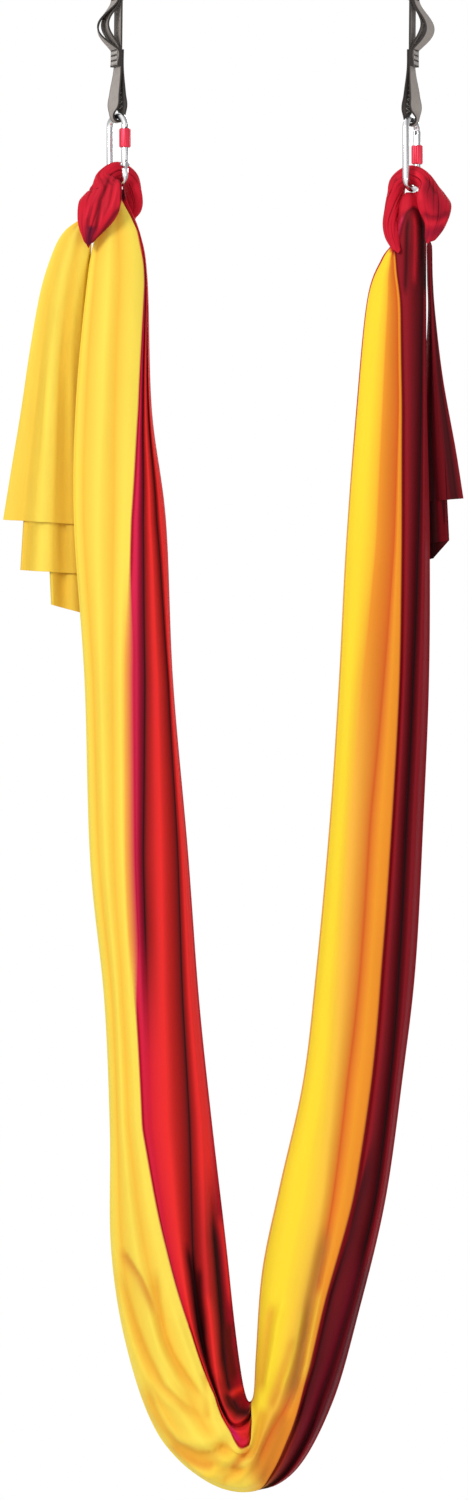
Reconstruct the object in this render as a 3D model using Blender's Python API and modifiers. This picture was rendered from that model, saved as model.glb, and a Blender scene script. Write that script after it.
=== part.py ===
"""Aerial yoga hammock: two sewn webbing straps, two screw-lock carabiners and one knotted cloth.

Metres, +Z up, +X to the right and +Y away from the viewer. The origin lies midway between the
two hooks that carry the straps, level with the inside of the straps' top loops.
"""

import math

import bmesh
import bpy
from mathutils import Matrix, Vector

# Straps
WEB_WIDTH = 0.0240
WEB_THICK = 0.0024
PLY_GAP = 0.0003
TOP_LOOP_BORE = 0.0240
SEAM_LENGTH = 0.0240
UPPER_SEAM_TOP = 0.0620
POCKET_LENGTH = 0.0700
BAR_PINCH = 0.47  # share of the webbing's width left where it bunches on the bar
BAR_BOW = 0.0030  # how far the bunched webbing's edges curl away from the bar
LEFT_TOP_X = -0.2085
RIGHT_TOP_X = 0.2090
LEFT_BAR_X = -0.2110
RIGHT_BAR_X = 0.2066
LEFT_BAR_DROP = 0.2496
RIGHT_BAR_DROP = 0.2546
LEFT_TURN = math.radians(-63)
RIGHT_TURN = math.radians(69)
LEFT_POCKET_BULGE = 0.0182
RIGHT_POCKET_BULGE = 0.0145
LEFT_SIDE_BULGE = 0.0265
RIGHT_SIDE_BULGE = 0.0210
LEFT_SIDE_TWIST = math.radians(-27)
RIGHT_SIDE_TWIST = math.radians(-10)
LEFT_END_TWIST = math.radians(18)  # how far the end loop turns away from the bar above it
RIGHT_END_TWIST = math.radians(-24)

# Carabiners
BAR_DIAMETER = 0.0095
FRAME_WIDTH = 0.0490  # between the centre lines of spine and gate
FRAME_HEIGHT = 0.0985  # between the centre lines of the two ends
END_RISE = 0.0135  # height of each rounded end
NOSE_DROP = 0.0140  # from the top bar's centre line down to the gate's tip
GATE_LENGTH = 0.0570  # from hinge to tip
GATE_DIAMETER = 0.0105
NOSE_STRAIGHT = 0.10  # straight stretch at the nose, as a share of the bar's diameter
JOINT_GAP = 0.0005
RUN_GAP = 0.0003
BAR_GAP = 0.0004
TONGUE_THICK = 0.0036
HOOK_DEPTH = 0.0050
HOOK_TOE = 0.0010
PIN_DIAMETER = 0.0020
PIN_DROP = 0.0026
PIN_INSET = 0.0018
TANG_THICK = 0.0044
TANG_TOP = 0.0042
RIVET_DIAMETER = 0.0030
RIVET_HEAD = 0.0048
RIVET_HEAD_THICK = 0.0009
SPRING_BORE = 0.0058
SPRING_SPACE = 0.0200
SPRING_WIRE = 0.0007
SPRING_TURNS = 6
PUSHER_LENGTH = 0.0080
PUSHER_TIP = 0.0036
SLEEVE_DIAMETER = 0.0165
SLEEVE_LENGTH = 0.0270
SLEEVE_CLEARANCE = 0.00035
SLEEVE_FLUTES = 12
FLUTE_DEPTH = 0.0007
SLEEVE_CHAMFER = 0.0016
LEFT_SLEEVE_DROP = 0.0062  # from the gate's tip down to the sleeve
RIGHT_SLEEVE_DROP = 0.0205

# Cloth on the bar
BIGHT_GAP = 0.0008
BIGHT_THICK = 0.0280
BIGHT_WIDTH = 0.0240
SHOULDER_OUT = BAR_DIAMETER / 2 + 0.0145  # where the bundle bends down, out from the bar's middle
SHOULDER_RISE = 0.0098
SHOULDER_WIDTH = 0.0290
SHOULDER_THICK = 0.0256
PIVOT_LIFT = 0.0120  # swing axis of the cloth above the basket bar's centre line
CLOTH_GAP = 0.0006
SLING_DROP = 1.8530  # from the basket bars down to the lowest point

ROUND_STEPS = 24
SLING_RINGS = 41
TAIL_ROUND = 0.0060


def clear_scene():
    for item in list(bpy.data.objects):
        bpy.data.objects.remove(item, do_unlink=True)


def new_collection(name):
    made = bpy.data.collections.new(name)
    bpy.context.scene.collection.children.link(made)
    return made


def material(name, colour, roughness, metallic):
    made = bpy.data.materials.new(name)
    made.use_nodes = True
    shader = made.node_tree.nodes["Principled BSDF"]
    shader.inputs["Base Color"].default_value = (*colour, 1.0)
    shader.inputs["Roughness"].default_value = roughness
    shader.inputs["Metallic"].default_value = metallic
    return made


clear_scene()
PARTS = new_collection("aerial_yoga_hammock")
CUTTERS = new_collection("cutters")


def add_part(name, mesh, paint, parent=None):
    """Links a finished mesh as a part, in its parent's space."""
    made = bpy.data.objects.new(name, mesh)
    PARTS.objects.link(made)
    made.parent = parent
    mesh.materials.clear()
    mesh.materials.append(paint)
    return made


def add_axis(name, place, turn=0.0, parent=None):
    """An empty on a joint's axis, which carries the pieces that move with it."""
    made = bpy.data.objects.new(name, None)
    PARTS.objects.link(made)
    made.empty_display_size = 0.02
    made.parent = parent
    made.location = place
    made.rotation_euler = (0.0, 0.0, turn)
    return made


def smooth(mesh, angle=40):
    mesh.shade_smooth()
    mesh.set_sharp_from_angle(angle=math.radians(angle))


def mesh_of(item):
    """The evaluated mesh of an object, with its caps welded, in the object's parent's space."""
    bpy.context.view_layer.update()
    graph = bpy.context.evaluated_depsgraph_get()
    mesh = bpy.data.meshes.new_from_object(item.evaluated_get(graph))
    shape = bmesh.new()
    shape.from_mesh(mesh)
    bmesh.ops.remove_doubles(shape, verts=shape.verts, dist=0.000001)
    bmesh.ops.recalc_face_normals(shape, faces=shape.faces)
    bmesh.ops.transform(shape, matrix=item.matrix_local, verts=shape.verts)
    shape.to_mesh(mesh)
    shape.free()
    bpy.data.objects.remove(item, do_unlink=True)
    return mesh


def curve_object(name, points, dimensions="3D", cyclic=False):
    data = bpy.data.curves.new(name, "CURVE")
    data.dimensions = dimensions
    line = data.splines.new("POLY")
    line.points.add(len(points) - 1)
    for knot, place in zip(line.points, points):
        knot.co = (*place, 1.0)
    line.use_cyclic_u = cyclic
    made = bpy.data.objects.new(name, data)
    CUTTERS.objects.link(made)
    return made


def tube(name, points, diameter, resolution):
    """A round bar along a route."""
    made = curve_object(name, points)
    made.data.bevel_depth = diameter / 2
    made.data.bevel_resolution = resolution
    made.data.use_fill_caps = True
    return mesh_of(made)


def plate(name, outline, thickness):
    """A flat outline in X and Z, given its thickness along Y."""
    made = curve_object(name, [(x, z, 0.0) for x, z in outline], "2D", True)
    made.data.fill_mode = "BOTH"
    made.data.extrude = thickness / 2
    made.rotation_euler = (math.pi / 2, 0.0, 0.0)
    return mesh_of(made)


def turned(name, profile, steps=ROUND_STEPS):
    """A profile of radius and height, from top to bottom, turned about Z."""
    mesh = bpy.data.meshes.new(name)
    points = [(radius, 0.0, height) for radius, height in profile]
    mesh.from_pydata(points, [(i, i + 1) for i in range(len(points) - 1)], [])
    made = bpy.data.objects.new(name, mesh)
    CUTTERS.objects.link(made)
    screw = made.modifiers.new("Turn", "SCREW")
    screw.steps = steps
    screw.render_steps = steps
    screw.use_merge_vertices = True
    screw.merge_threshold = 0.00001
    return mesh_of(made)


def rod(name, diameter, length, centre, along="Z", steps=ROUND_STEPS):
    mesh = bpy.data.meshes.new(name)
    shape = bmesh.new()
    bmesh.ops.create_cone(
        shape, cap_ends=True, segments=steps, radius1=diameter / 2, radius2=diameter / 2, depth=length
    )
    turn = Matrix.Rotation(math.pi / 2, 4, "X") if along == "Y" else Matrix()
    bmesh.ops.transform(shape, matrix=Matrix.Translation(centre) @ turn, verts=shape.verts)
    shape.to_mesh(mesh)
    shape.free()
    return mesh


def block(name, size, centre):
    mesh = bpy.data.meshes.new(name)
    shape = bmesh.new()
    bmesh.ops.create_cube(shape, size=1.0)
    bmesh.ops.transform(
        shape, matrix=Matrix.Translation(centre) @ Matrix.Diagonal((*size, 1.0)), verts=shape.verts
    )
    shape.to_mesh(mesh)
    shape.free()
    return mesh


def combine(name, base, others, operation):
    """The base mesh joined to, or cut by, each of the others."""
    made = bpy.data.objects.new(name, base)
    CUTTERS.objects.link(made)
    helpers = []
    for number, other in enumerate(others):
        helper = bpy.data.objects.new(f"{name}_cutter_{number}", other)
        CUTTERS.objects.link(helper)
        helper.hide_render = True
        helper.display_type = "WIRE"
        cut = made.modifiers.new(f"Cut {number}", "BOOLEAN")
        cut.operation = operation
        cut.object = helper
        helpers.append(helper)
    mesh = mesh_of(made)
    for helper in helpers:
        bpy.data.objects.remove(helper, do_unlink=True)
    return mesh


def loft(name, rings, joined=False):
    """A skin over unlike rings of as many points each, capped unless its ends are joined."""
    mesh = bpy.data.meshes.new(name)
    shape = bmesh.new()
    rows = [[shape.verts.new(point) for point in ring] for ring in rings]
    count = len(rows[0])
    pairs = list(zip(rows, rows[1:]))
    if joined:
        pairs.append((rows[-1], rows[0]))
    for first, second in pairs:
        for i in range(count):
            j = (i + 1) % count
            shape.faces.new((first[i], first[j], second[j], second[i]))
    if not joined:
        shape.faces.new(rows[0][::-1])
        shape.faces.new(rows[-1])
    bmesh.ops.recalc_face_normals(shape, faces=shape.faces)
    bmesh.ops.triangulate(shape, faces=[f for f in shape.faces if len(f.verts) > 4])
    shape.to_mesh(mesh)
    shape.free()
    return mesh


def through(stations, count):
    """Values read at even steps from a smooth curve through the stations."""
    made = []
    last = len(stations) - 1
    for step in range(count):
        place = step * last / (count - 1)
        start = min(int(place), last - 1)
        t = place - start
        near = [stations[min(max(start + k, 0), last)] for k in (-1, 0, 1, 2)]
        made.append(
            [
                0.5 * (2 * b + (c - a) * t + (2 * a - 5 * b + 4 * c - d) * t * t
                       + (3 * b - a - 3 * c + d) * t ** 3)
                for a, b, c, d in zip(*near)
            ]
        )
    return made


def arc(centre, radius, start, end, steps):
    """Points on an arc in degrees, without its first and last."""
    angles = [math.radians(start + (end - start) * i / steps) for i in range(1, steps)]
    return [(centre[0] + radius * math.cos(a), centre[1] + radius * math.sin(a)) for a in angles]


# Webbing straps: flat polyester webbing sewn into loops. The straight ply makes both end loops, and
# two more plies stand away from it as a pocket loop and a side loop.
WEBBING = material("grey webbing", (0.30, 0.27, 0.26), 0.85, 0.0)
PLY_STEP = WEB_THICK + PLY_GAP
BAR_WRAP = BAR_DIAMETER / 2 + BAR_GAP + WEB_THICK / 2
TOP_WRAP = TOP_LOOP_BORE / 2 + WEB_THICK / 2
UPPER_SEAM_END = UPPER_SEAM_TOP + SEAM_LENGTH
LOWER_SEAM_TOP = UPPER_SEAM_END + POCKET_LENGTH
LOWER_SEAM_END = LOWER_SEAM_TOP + SEAM_LENGTH
ACROSS = (-1.0, -0.55, 0.0, 0.55, 1.0)
END_SPREAD = 0.0110  # how far above the bar the end loop is still wide
POCKET_EASE = 1.6  # how softly each loop leaves its seams
SIDE_EASE = 1.15
CROWN_STEPS = 9  # an odd number, so that a flat facet lies on the crown, at zero height


def ribbon(name, route, sides):
    """Webbing along a route of (offset, height, width, bow, twist) in a side's strap plane."""
    rings = []
    for i, (offset, height, width, bow, twist) in enumerate(route):
        before = route[max(i - 1, 0)]
        after = route[min(i + 1, len(route) - 1)]
        ahead = Vector((0.0, after[0] - before[0], after[1] - before[1])).normalized()
        width_way = Matrix.Rotation(twist, 3, "Z") @ Vector((1.0, 0.0, 0.0))
        width_way = (width_way - width_way.dot(ahead) * ahead).normalized()
        face_way = width_way.cross(ahead)
        centre = Vector((0.0, offset, height))
        curl = [centre + width_way * (a * width / 2) + face_way * (bow * a * a) for a in ACROSS]
        half = face_way * (WEB_THICK / 2)
        ring = [p + half for p in curl] + [p - half for p in reversed(curl)]
        lean = Matrix.Rotation(sides["turn"], 3, "Z")
        rings.append([lean @ p + Vector((sides["top_x"] - sides["lean"] * p.z, 0.0, 0.0)) for p in ring])
    return loft(name, rings)


def end_loop_route(side):
    """The straight ply: a flap, the end loop round the bar, the long run and the top loop."""
    bar = (0.0, -side["drop"])
    crown = (0.0, -TOP_LOOP_BORE / 2 * math.cos(math.pi / 2 / CROWN_STEPS))
    flat = [(PLY_STEP, -LOWER_SEAM_TOP), (PLY_STEP, -LOWER_SEAM_END)]
    spread = LOWER_SEAM_END + 0.55 * (side["drop"] - LOWER_SEAM_END)
    points = [(*p, WEB_WIDTH, 0.0, 0.0) for p in flat]
    above = [
        (0.72 * BAR_WRAP, -spread, WEB_WIDTH * 0.96, 0.0, side["end_twist"] * 0.7),
        (BAR_WRAP, bar[1] + END_SPREAD, WEB_WIDTH * 0.84, 0.3 * BAR_BOW, side["end_twist"]),
        (BAR_WRAP, bar[1], WEB_WIDTH * BAR_PINCH * 1.1, BAR_BOW, 0.0),
    ]
    points += above
    points += [(n, z, WEB_WIDTH * BAR_PINCH, BAR_BOW, 0.0) for n, z in arc(bar, BAR_WRAP, 0, -180, 12)]
    points += [(-n, *rest) for n, *rest in reversed(above)]
    for height in (LOWER_SEAM_END, LOWER_SEAM_TOP, UPPER_SEAM_END, UPPER_SEAM_TOP):
        points.append((0.0, -height, WEB_WIDTH, 0.0, 0.0))
    around = [(-TOP_WRAP, crown[1])] + arc(crown, TOP_WRAP, 180, 0, CROWN_STEPS) + [(TOP_WRAP, crown[1])]
    points += [(*p, WEB_WIDTH, 0.0, 0.0) for p in around]
    flap = [(PLY_STEP, -UPPER_SEAM_TOP), (PLY_STEP, -UPPER_SEAM_END)]
    points += [(*p, WEB_WIDTH, 0.0, 0.0) for p in flap]
    return points


def loop_route(ply, bulge, peak, ease, twist, steps=14):
    """A ply that is sewn at both seams and stands away between them."""
    points = [(-ply * PLY_STEP, -UPPER_SEAM_TOP, WEB_WIDTH, 0.0, 0.0)]
    for i in range(steps + 1):
        t = i / steps
        rise = math.sin(math.pi * t ** peak) ** ease if 0 < i < steps else 0.0
        height = -UPPER_SEAM_END - POCKET_LENGTH * t
        points.append((-ply * PLY_STEP - bulge * rise, height, WEB_WIDTH, 0.0, twist * rise ** 2))
    points.append((-ply * PLY_STEP, -LOWER_SEAM_END, WEB_WIDTH, 0.0, 0.0))
    return points


def strap(side):
    name = side["name"]
    pocket = loop_route(1, side["pocket_bulge"], 1.0, POCKET_EASE, 0.0)
    outer = loop_route(2, side["side_bulge"], side["side_peak"], SIDE_EASE, side["side_twist"])
    for piece, route in (
        ("strap_webbing", end_loop_route(side)),
        ("strap_pocket_loop", pocket),
        ("strap_side_loop", outer),
    ):
        mesh = ribbon(f"{name}_{piece}", route, side)
        smooth(mesh, 35)
        add_part(f"{name}_{piece}", mesh, WEBBING)


LEFT = {
    "name": "left", "top_x": LEFT_TOP_X, "bar_x": LEFT_BAR_X, "drop": LEFT_BAR_DROP, "turn": LEFT_TURN,
    "pocket_bulge": LEFT_POCKET_BULGE, "side_bulge": LEFT_SIDE_BULGE,
    "side_peak": 1.25, "side_twist": LEFT_SIDE_TWIST, "sleeve_drop": LEFT_SLEEVE_DROP,
    "end_twist": LEFT_END_TWIST,
}
RIGHT = {
    "name": "right", "top_x": RIGHT_TOP_X, "bar_x": RIGHT_BAR_X, "drop": RIGHT_BAR_DROP, "turn": RIGHT_TURN,
    "pocket_bulge": RIGHT_POCKET_BULGE, "side_bulge": RIGHT_SIDE_BULGE,
    "side_peak": 1.30, "side_twist": RIGHT_SIDE_TWIST, "sleeve_drop": RIGHT_SLEEVE_DROP,
    "end_twist": RIGHT_END_TWIST,
}
for side in (LEFT, RIGHT):
    side["lean"] = (side["bar_x"] - side["top_x"]) / side["drop"]
    strap(side)

# Carabiners: a forged bar bent into a ring with two rounded ends. In each one's own space the top
# bar's centre is the origin, X runs from the spine to the gate, and Z is up.
ALLOY = material("polished aluminium", (0.80, 0.81, 0.83), 0.16, 1.0)
STEEL = material("steel", (0.60, 0.60, 0.62), 0.30, 1.0)
RED_ALLOY = material("red anodised aluminium", (0.62, 0.03, 0.06), 0.35, 0.6)
HALF_WIDTH = FRAME_WIDTH / 2
TIP_Z = -NOSE_DROP
HINGE_Z = TIP_Z - GATE_LENGTH
GATE_RADIUS = GATE_DIAMETER / 2
FORK_GAP = TANG_THICK + 2 * RUN_GAP
FORK_FLOOR = TANG_TOP + 0.0018
BORE_TOP = FORK_FLOOR + SPRING_SPACE
PUSHER_FOOT = TANG_TOP + RUN_GAP


def carabiner_frame(name):
    """The bar from its nose round to the tang, with the hook and the drilled tang worked on it."""
    rise = FRAME_HEIGHT - 2 * END_RISE
    top = [
        (HALF_WIDTH * math.cos(a), -END_RISE + END_RISE * math.sin(a))
        for a in (math.pi * i / 14 for i in range(15))
    ]
    bottom = [
        (-HALF_WIDTH * math.cos(a), -END_RISE - rise - END_RISE * math.sin(a))
        for a in (math.pi * i / 14 for i in range(15))
    ]
    shoulder = HINGE_Z - GATE_RADIUS - JOINT_GAP
    nose_z = TIP_Z + JOINT_GAP
    nose = [(HALF_WIDTH, nose_z), (HALF_WIDTH, nose_z + NOSE_STRAIGHT * BAR_DIAMETER)]
    route = nose + top[1:] + [(-HALF_WIDTH, -FRAME_HEIGHT / 2)] + bottom + [(HALF_WIDTH, shoulder)]
    bar = tube(f"{name}_bar", [(x, 0.0, z) for x, z in route], BAR_DIAMETER, 4)
    reach = BAR_DIAMETER / 2 - 0.0003
    pin = -PIN_DROP
    notch_top = pin + PIN_DIAMETER / 2 + 0.0004
    notch_floor = -HOOK_DEPTH + HOOK_TOE
    stem = -PIN_INSET + PIN_DIAMETER / 2 + 0.0004
    hook = [
        (-reach, 0.0025), (reach, 0.0025), (reach, -HOOK_DEPTH + 0.001), (reach - 0.001, -HOOK_DEPTH),
        (-PIN_INSET - 0.0016, -HOOK_DEPTH), (-PIN_INSET - 0.0016, notch_floor), (stem, notch_floor),
        (stem, notch_top), (-reach, notch_top),
    ]
    hook = plate(f"{name}_hook", [(HALF_WIDTH + x, TIP_Z + z) for x, z in hook], TONGUE_THICK)
    side = GATE_RADIUS - 0.0009
    foot = shoulder - 0.003 - HINGE_Z
    tang = [(side, foot), (side, TANG_TOP - 0.0014), (side - 0.0014, TANG_TOP)]
    tang += [(-side + 0.0022, TANG_TOP), (-side, TANG_TOP - 0.0030), (-side, foot)]
    tang = plate(f"{name}_tang", [(HALF_WIDTH + x, HINGE_Z + z) for x, z in tang], TANG_THICK)
    solid = combine(f"{name}_solid", bar, [hook, tang], "UNION")
    hole = rod(
        f"{name}_hole", RIVET_DIAMETER + 2 * RUN_GAP, TANG_THICK * 3, (HALF_WIDTH, 0.0, HINGE_Z), "Y", 16
    )
    return combine(f"{name}_drilled", solid, [hole], "DIFFERENCE")


def gate_rod(name):
    """The gate about its hinge: a rod with a round foot, forked, bored and slotted."""
    top = GATE_LENGTH
    edge = 0.0005
    profile = [(0.0, top), (GATE_RADIUS - edge, top), (GATE_RADIUS, top - edge), (GATE_RADIUS, top / 2)]
    quarter = [math.pi / 2 * i / 6 for i in range(7)]
    profile += [(GATE_RADIUS * math.cos(a), -GATE_RADIUS * math.sin(a)) for a in quarter]
    profile[-1] = (0.0, -GATE_RADIUS)
    body = turned(f"{name}_rod", profile)
    wide = 2 * GATE_DIAMETER
    depth = wide + FORK_FLOOR
    fork = block(f"{name}_fork", (wide, FORK_GAP, depth), (0.0, 0.0, FORK_FLOOR - depth / 2))
    bore = rod(f"{name}_bore", SPRING_BORE, BORE_TOP - 0.0015, (0.0, 0.0, (BORE_TOP + 0.0015) / 2), "Z", 16)
    hole = rod(f"{name}_hole", RIVET_DIAMETER + 2 * RUN_GAP, wide, (0.0, 0.0, 0.0), "Y", 16)
    slot = HOOK_DEPTH + 0.0014
    nose = block(f"{name}_nose", (wide, TONGUE_THICK + 2 * RUN_GAP, slot * 2), (0.0, 0.0, top))
    pin = rod(
        f"{name}_pin", PIN_DIAMETER + 2 * RUN_GAP, wide, (-PIN_INSET, 0.0, GATE_LENGTH - PIN_DROP), "Y", 12
    )
    return combine(f"{name}_cut", body, [fork, bore, hole, nose, pin], "DIFFERENCE")


def rivet(name):
    """A rivet along Y with a low head outside each cheek of the fork."""
    head = GATE_RADIUS + RUN_GAP
    half = [
        (0.0, head + RIVET_HEAD_THICK), (RIVET_HEAD / 2 - 0.0005, head + RIVET_HEAD_THICK),
        (RIVET_HEAD / 2, head + RIVET_HEAD_THICK / 2), (RIVET_HEAD / 2, head), (RIVET_DIAMETER / 2, head),
    ]
    profile = half + [(radius, -height) for radius, height in reversed(half)]
    mesh = turned(name, profile, 16)
    mesh.transform(Matrix.Rotation(math.pi / 2, 4, "X"))
    return mesh


def screw_sleeve(name):
    """A fluted ring with turned ends, from its foot at zero."""
    count = SLEEVE_FLUTES * 4
    bore = GATE_RADIUS + SLEEVE_CLEARANCE
    outer = SLEEVE_DIAMETER / 2

    def ring(radius, flute, height):
        made = []
        for i in range(count):
            a = 2 * math.pi * i / count
            r = radius - flute * (0.5 - 0.5 * math.cos(SLEEVE_FLUTES * a))
            made.append((r * math.cos(a), r * math.sin(a), height))
        return made

    rings = [
        ring(bore, 0.0, 0.0),
        ring(outer - SLEEVE_CHAMFER, 0.0, 0.0),
        ring(outer, FLUTE_DEPTH, SLEEVE_CHAMFER),
        ring(outer, FLUTE_DEPTH, SLEEVE_LENGTH - SLEEVE_CHAMFER),
        ring(outer - SLEEVE_CHAMFER, 0.0, SLEEVE_LENGTH),
        ring(bore, 0.0, SLEEVE_LENGTH),
    ]
    return loft(name, rings, joined=True)


def spring_coil(name):
    """The gate's spring, between the pusher and the end of its bore."""
    foot = PUSHER_FOOT + PUSHER_LENGTH + RUN_GAP + SPRING_WIRE / 2
    head = BORE_TOP - RUN_GAP - SPRING_WIRE / 2
    radius = SPRING_BORE / 2 - RUN_GAP - SPRING_WIRE / 2
    count = SPRING_TURNS * 9
    points = []
    for i in range(count + 1):
        a = 2 * math.pi * i / 9
        points.append((radius * math.cos(a), radius * math.sin(a), foot + (head - foot) * i / count))
    pitch = (head - foot) / SPRING_TURNS
    print(f"{name}: least gap between turns {(pitch - SPRING_WIRE) * 1000:.2f} mm")
    return tube(name, points, SPRING_WIRE, 1)


def pusher(name):
    """A stepped plunger, its round tip on the tang and its head under the spring."""
    head = SPRING_BORE / 2 - RUN_GAP
    tip = PUSHER_TIP / 2
    top = PUSHER_FOOT + PUSHER_LENGTH
    step = PUSHER_FOOT + 0.0032
    profile = [(0.0, top), (head, top), (head, step), (tip, step), (tip, PUSHER_FOOT + 0.0010)]
    profile += [(tip * 0.70, PUSHER_FOOT + 0.0003), (0.0, PUSHER_FOOT)]
    return turned(name, profile, 16)


def carabiner(side):
    name = side["name"]
    swing = add_axis(f"{name}_carabiner_swing_axis", (side["bar_x"], 0.0, -side["drop"]), side["turn"])
    hinge = add_axis(f"{name}_gate_hinge_axis", (HALF_WIDTH, 0.0, HINGE_Z), 0.0, swing)
    pieces = (
        ("carabiner_frame", carabiner_frame(name), ALLOY, swing),
        ("carabiner_gate", gate_rod(name), ALLOY, hinge),
        ("hinge_rivet", rivet(f"{name}_rivet"), STEEL, hinge),
        ("screw_sleeve", screw_sleeve(f"{name}_sleeve"), RED_ALLOY, hinge),
        ("gate_spring", spring_coil(f"{name}_spring"), STEEL, hinge),
        ("gate_pusher", pusher(f"{name}_pusher"), STEEL, hinge),
    )
    made = {}
    for piece, mesh, paint, parent in pieces:
        smooth(mesh)
        made[piece] = add_part(f"{name}_{piece}", mesh, paint, parent)
    made["screw_sleeve"].location.z = GATE_LENGTH - side["sleeve_drop"] - SLEEVE_LENGTH
    chord = math.sqrt(GATE_RADIUS ** 2 - PIN_INSET ** 2)
    pin_place = (-PIN_INSET, 0.0, GATE_LENGTH - PIN_DROP)
    latch = rod(f"{name}_latch", PIN_DIAMETER, 2 * chord - 2 * RUN_GAP, pin_place, "Y", 12)
    smooth(latch)
    add_part(f"{name}_latch_pin", latch, STEEL, hinge)


for side in (LEFT, RIGHT):
    carabiner(side)
    side["basket"] = Vector((side["bar_x"], 0.0, -side["drop"] - FRAME_HEIGHT))

# Cloth: one gathered sheet. Each knot is a bundle that passes through the carabiner over its basket
# bar and falls on both sides of the neck. The sling hangs between the knots and the tails outside.
YELLOW = material("yellow tricot", (0.95, 0.72, 0.08), 0.75, 0.0)
CRIMSON = material("crimson tricot", (0.55, 0.02, 0.05), 0.75, 0.0)
DARK_RED = material("dark red tricot", (0.28, 0.01, 0.02), 0.75, 0.0)
KNOT_STEPS = 2  # rings from one station to the next
KNOT_POINTS = 20


def bundle(name, stations, origin, rings, folds):
    """A gathered bundle along stations of centre, width direction in degrees, half width and half
    thickness. Folds are lengthwise grooves: how many, and how deep as a share of the thickness."""
    count, depth = folds
    rows = through(stations, rings)
    made = []
    for i, (x, y, z, turn, wide, thick) in enumerate(rows):
        before = rows[max(i - 1, 0)]
        after = rows[min(i + 1, rings - 1)]
        ahead = Vector([after[k] - before[k] for k in range(3)]).normalized()
        if i in (0, rings - 1):
            ahead = Vector((0.0, 0.0, math.copysign(1.0, ahead.z)))
        across = Vector((math.cos(math.radians(turn)), math.sin(math.radians(turn)), 0.0))
        across = (across - across.dot(ahead) * ahead).normalized()
        out = across.cross(ahead)
        ring = []
        for k in range(KNOT_POINTS):
            a = 2 * math.pi * k / KNOT_POINTS
            fade = min(1.0, wide / thick - 1.0) if wide > thick else 0.0
            groove = 1.0 - depth * fade * (0.5 - 0.5 * math.cos(count * a)) * abs(math.sin(a))
            ring.append(
                Vector(origin) + Vector((x, y, z))
                + across * (wide * math.cos(a)) + out * (thick * groove * math.sin(a))
            )
        made.append(ring)
    return loft(name, made)


BIGHT_CENTRE = BAR_DIAMETER / 2 + BIGHT_GAP + BIGHT_THICK / 2


def knot(side, front, back):
    """The bundle's two lobes, as stations from the bight down, joined over the bar."""
    turn = side["turn"]
    degrees = math.degrees(turn)
    over = (0.0, 0.0, BIGHT_CENTRE, degrees, BIGHT_WIDTH / 2, BIGHT_THICK / 2)
    away = Vector((-math.sin(turn), math.cos(turn)))

    def shoulder(way):
        out = away * (way * SHOULDER_OUT)
        return (out.x, out.y, SHOULDER_RISE, degrees, SHOULDER_WIDTH / 2, SHOULDER_THICK / 2)

    stations = front[::-1] + [shoulder(-1), over, shoulder(1)] + back
    rings = KNOT_STEPS * (len(stations) - 1) + 1
    mesh = bundle(f"{side['name']}_knot", stations, side["basket"], rings, (5, 0.22))
    smooth(mesh, 60)
    return mesh


LEFT_FRONT = [
    (-0.0180, -0.0160, -0.010, -36, 0.0300, 0.0105),
    (-0.0255, -0.0240, -0.032, -18, 0.0320, 0.0100),
    (-0.0350, -0.0260, -0.058, -6, 0.0220, 0.0085),
    (-0.0400, -0.0260, -0.081, 0, 0.0080, 0.0055),
    (-0.0405, -0.0255, -0.091, 0, 0.0028, 0.0026),
]
LEFT_BACK = [
    (0.021, 0.012, -0.010, -50, 0.018, 0.0100),
    (0.021, 0.015, -0.028, -30, 0.016, 0.0080),
    (0.017, 0.018, -0.043, -20, 0.010, 0.0050),
]
RIGHT_FRONT = [
    (0.0270, -0.0125, -0.008, 45, 0.0255, 0.0115),
    (0.0325, -0.0220, -0.028, 18, 0.0250, 0.0110),
    (0.0325, -0.0240, -0.052, 6, 0.0155, 0.0095),
    (0.0240, -0.0250, -0.076, 0, 0.0065, 0.0050),
]
RIGHT_BACK = [
    (-0.022, 0.010, -0.008, 50, 0.015, 0.0105),
    (-0.026, 0.008, -0.030, 25, 0.013, 0.0095),
    (-0.0290, 0.0030, -0.050, 10, 0.0122, 0.0078),
    (-0.0276, -0.0060, -0.068, 0, 0.0110, 0.0055),
    (-0.0247, -0.0160, -0.084, 0, 0.0060, 0.0037),
]

# The sling's two edges as it hangs. Each row is the outer edge, the inner edge, half the depth and
# how far the middle lies behind the straps. An edge is its distance sideways from the basket bar
# (from the middle of both for the bowl) and how far down it is, as a share of the sling's drop.
LEFT_LEG = [
    (-0.006, 0.0035, 0.009, 0.0035, 0.0066, -0.0040),
    (-0.014, 0.0110, 0.013, 0.0110, 0.0104, -0.0038),
    (-0.024, 0.0380, 0.033, 0.0380, 0.0130, -0.003),
    (-0.043, 0.0730, 0.043, 0.0730, 0.0220, 0.0),
    (-0.059, 0.1650, 0.049, 0.1720, 0.0300, 0.0),
    (-0.062, 0.2570, 0.069, 0.2570, 0.0330, 0.0),
    (-0.047, 0.3790, 0.079, 0.3790, 0.0360, 0.0),
    (-0.039, 0.5170, 0.100, 0.5090, 0.0380, 0.0),
    (-0.019, 0.6240, 0.116, 0.6240, 0.0400, 0.0),
    (-0.011, 0.7240, 0.134, 0.7170, 0.0430, 0.0),
]
BOWL = [
    (-0.218, 0.8140, -0.055, 0.8070, 0.0460, 0.0),
    (-0.196, 0.8890, -0.043, 0.8680, 0.0480, 0.0),
    (-0.153, 0.9540, -0.033, 0.9090, 0.0500, 0.0),
    (-0.085, 0.9910, -0.026, 0.9270, 0.0500, 0.0),
    (-0.018, 1.0000, -0.020, 0.9310, 0.0500, 0.0),
    (0.045, 0.9830, -0.015, 0.9230, 0.0500, 0.0),
    (0.097, 0.9310, -0.012, 0.8930, 0.0480, 0.0),
    (0.135, 0.8600, -0.003, 0.8300, 0.0460, 0.0),
]
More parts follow.
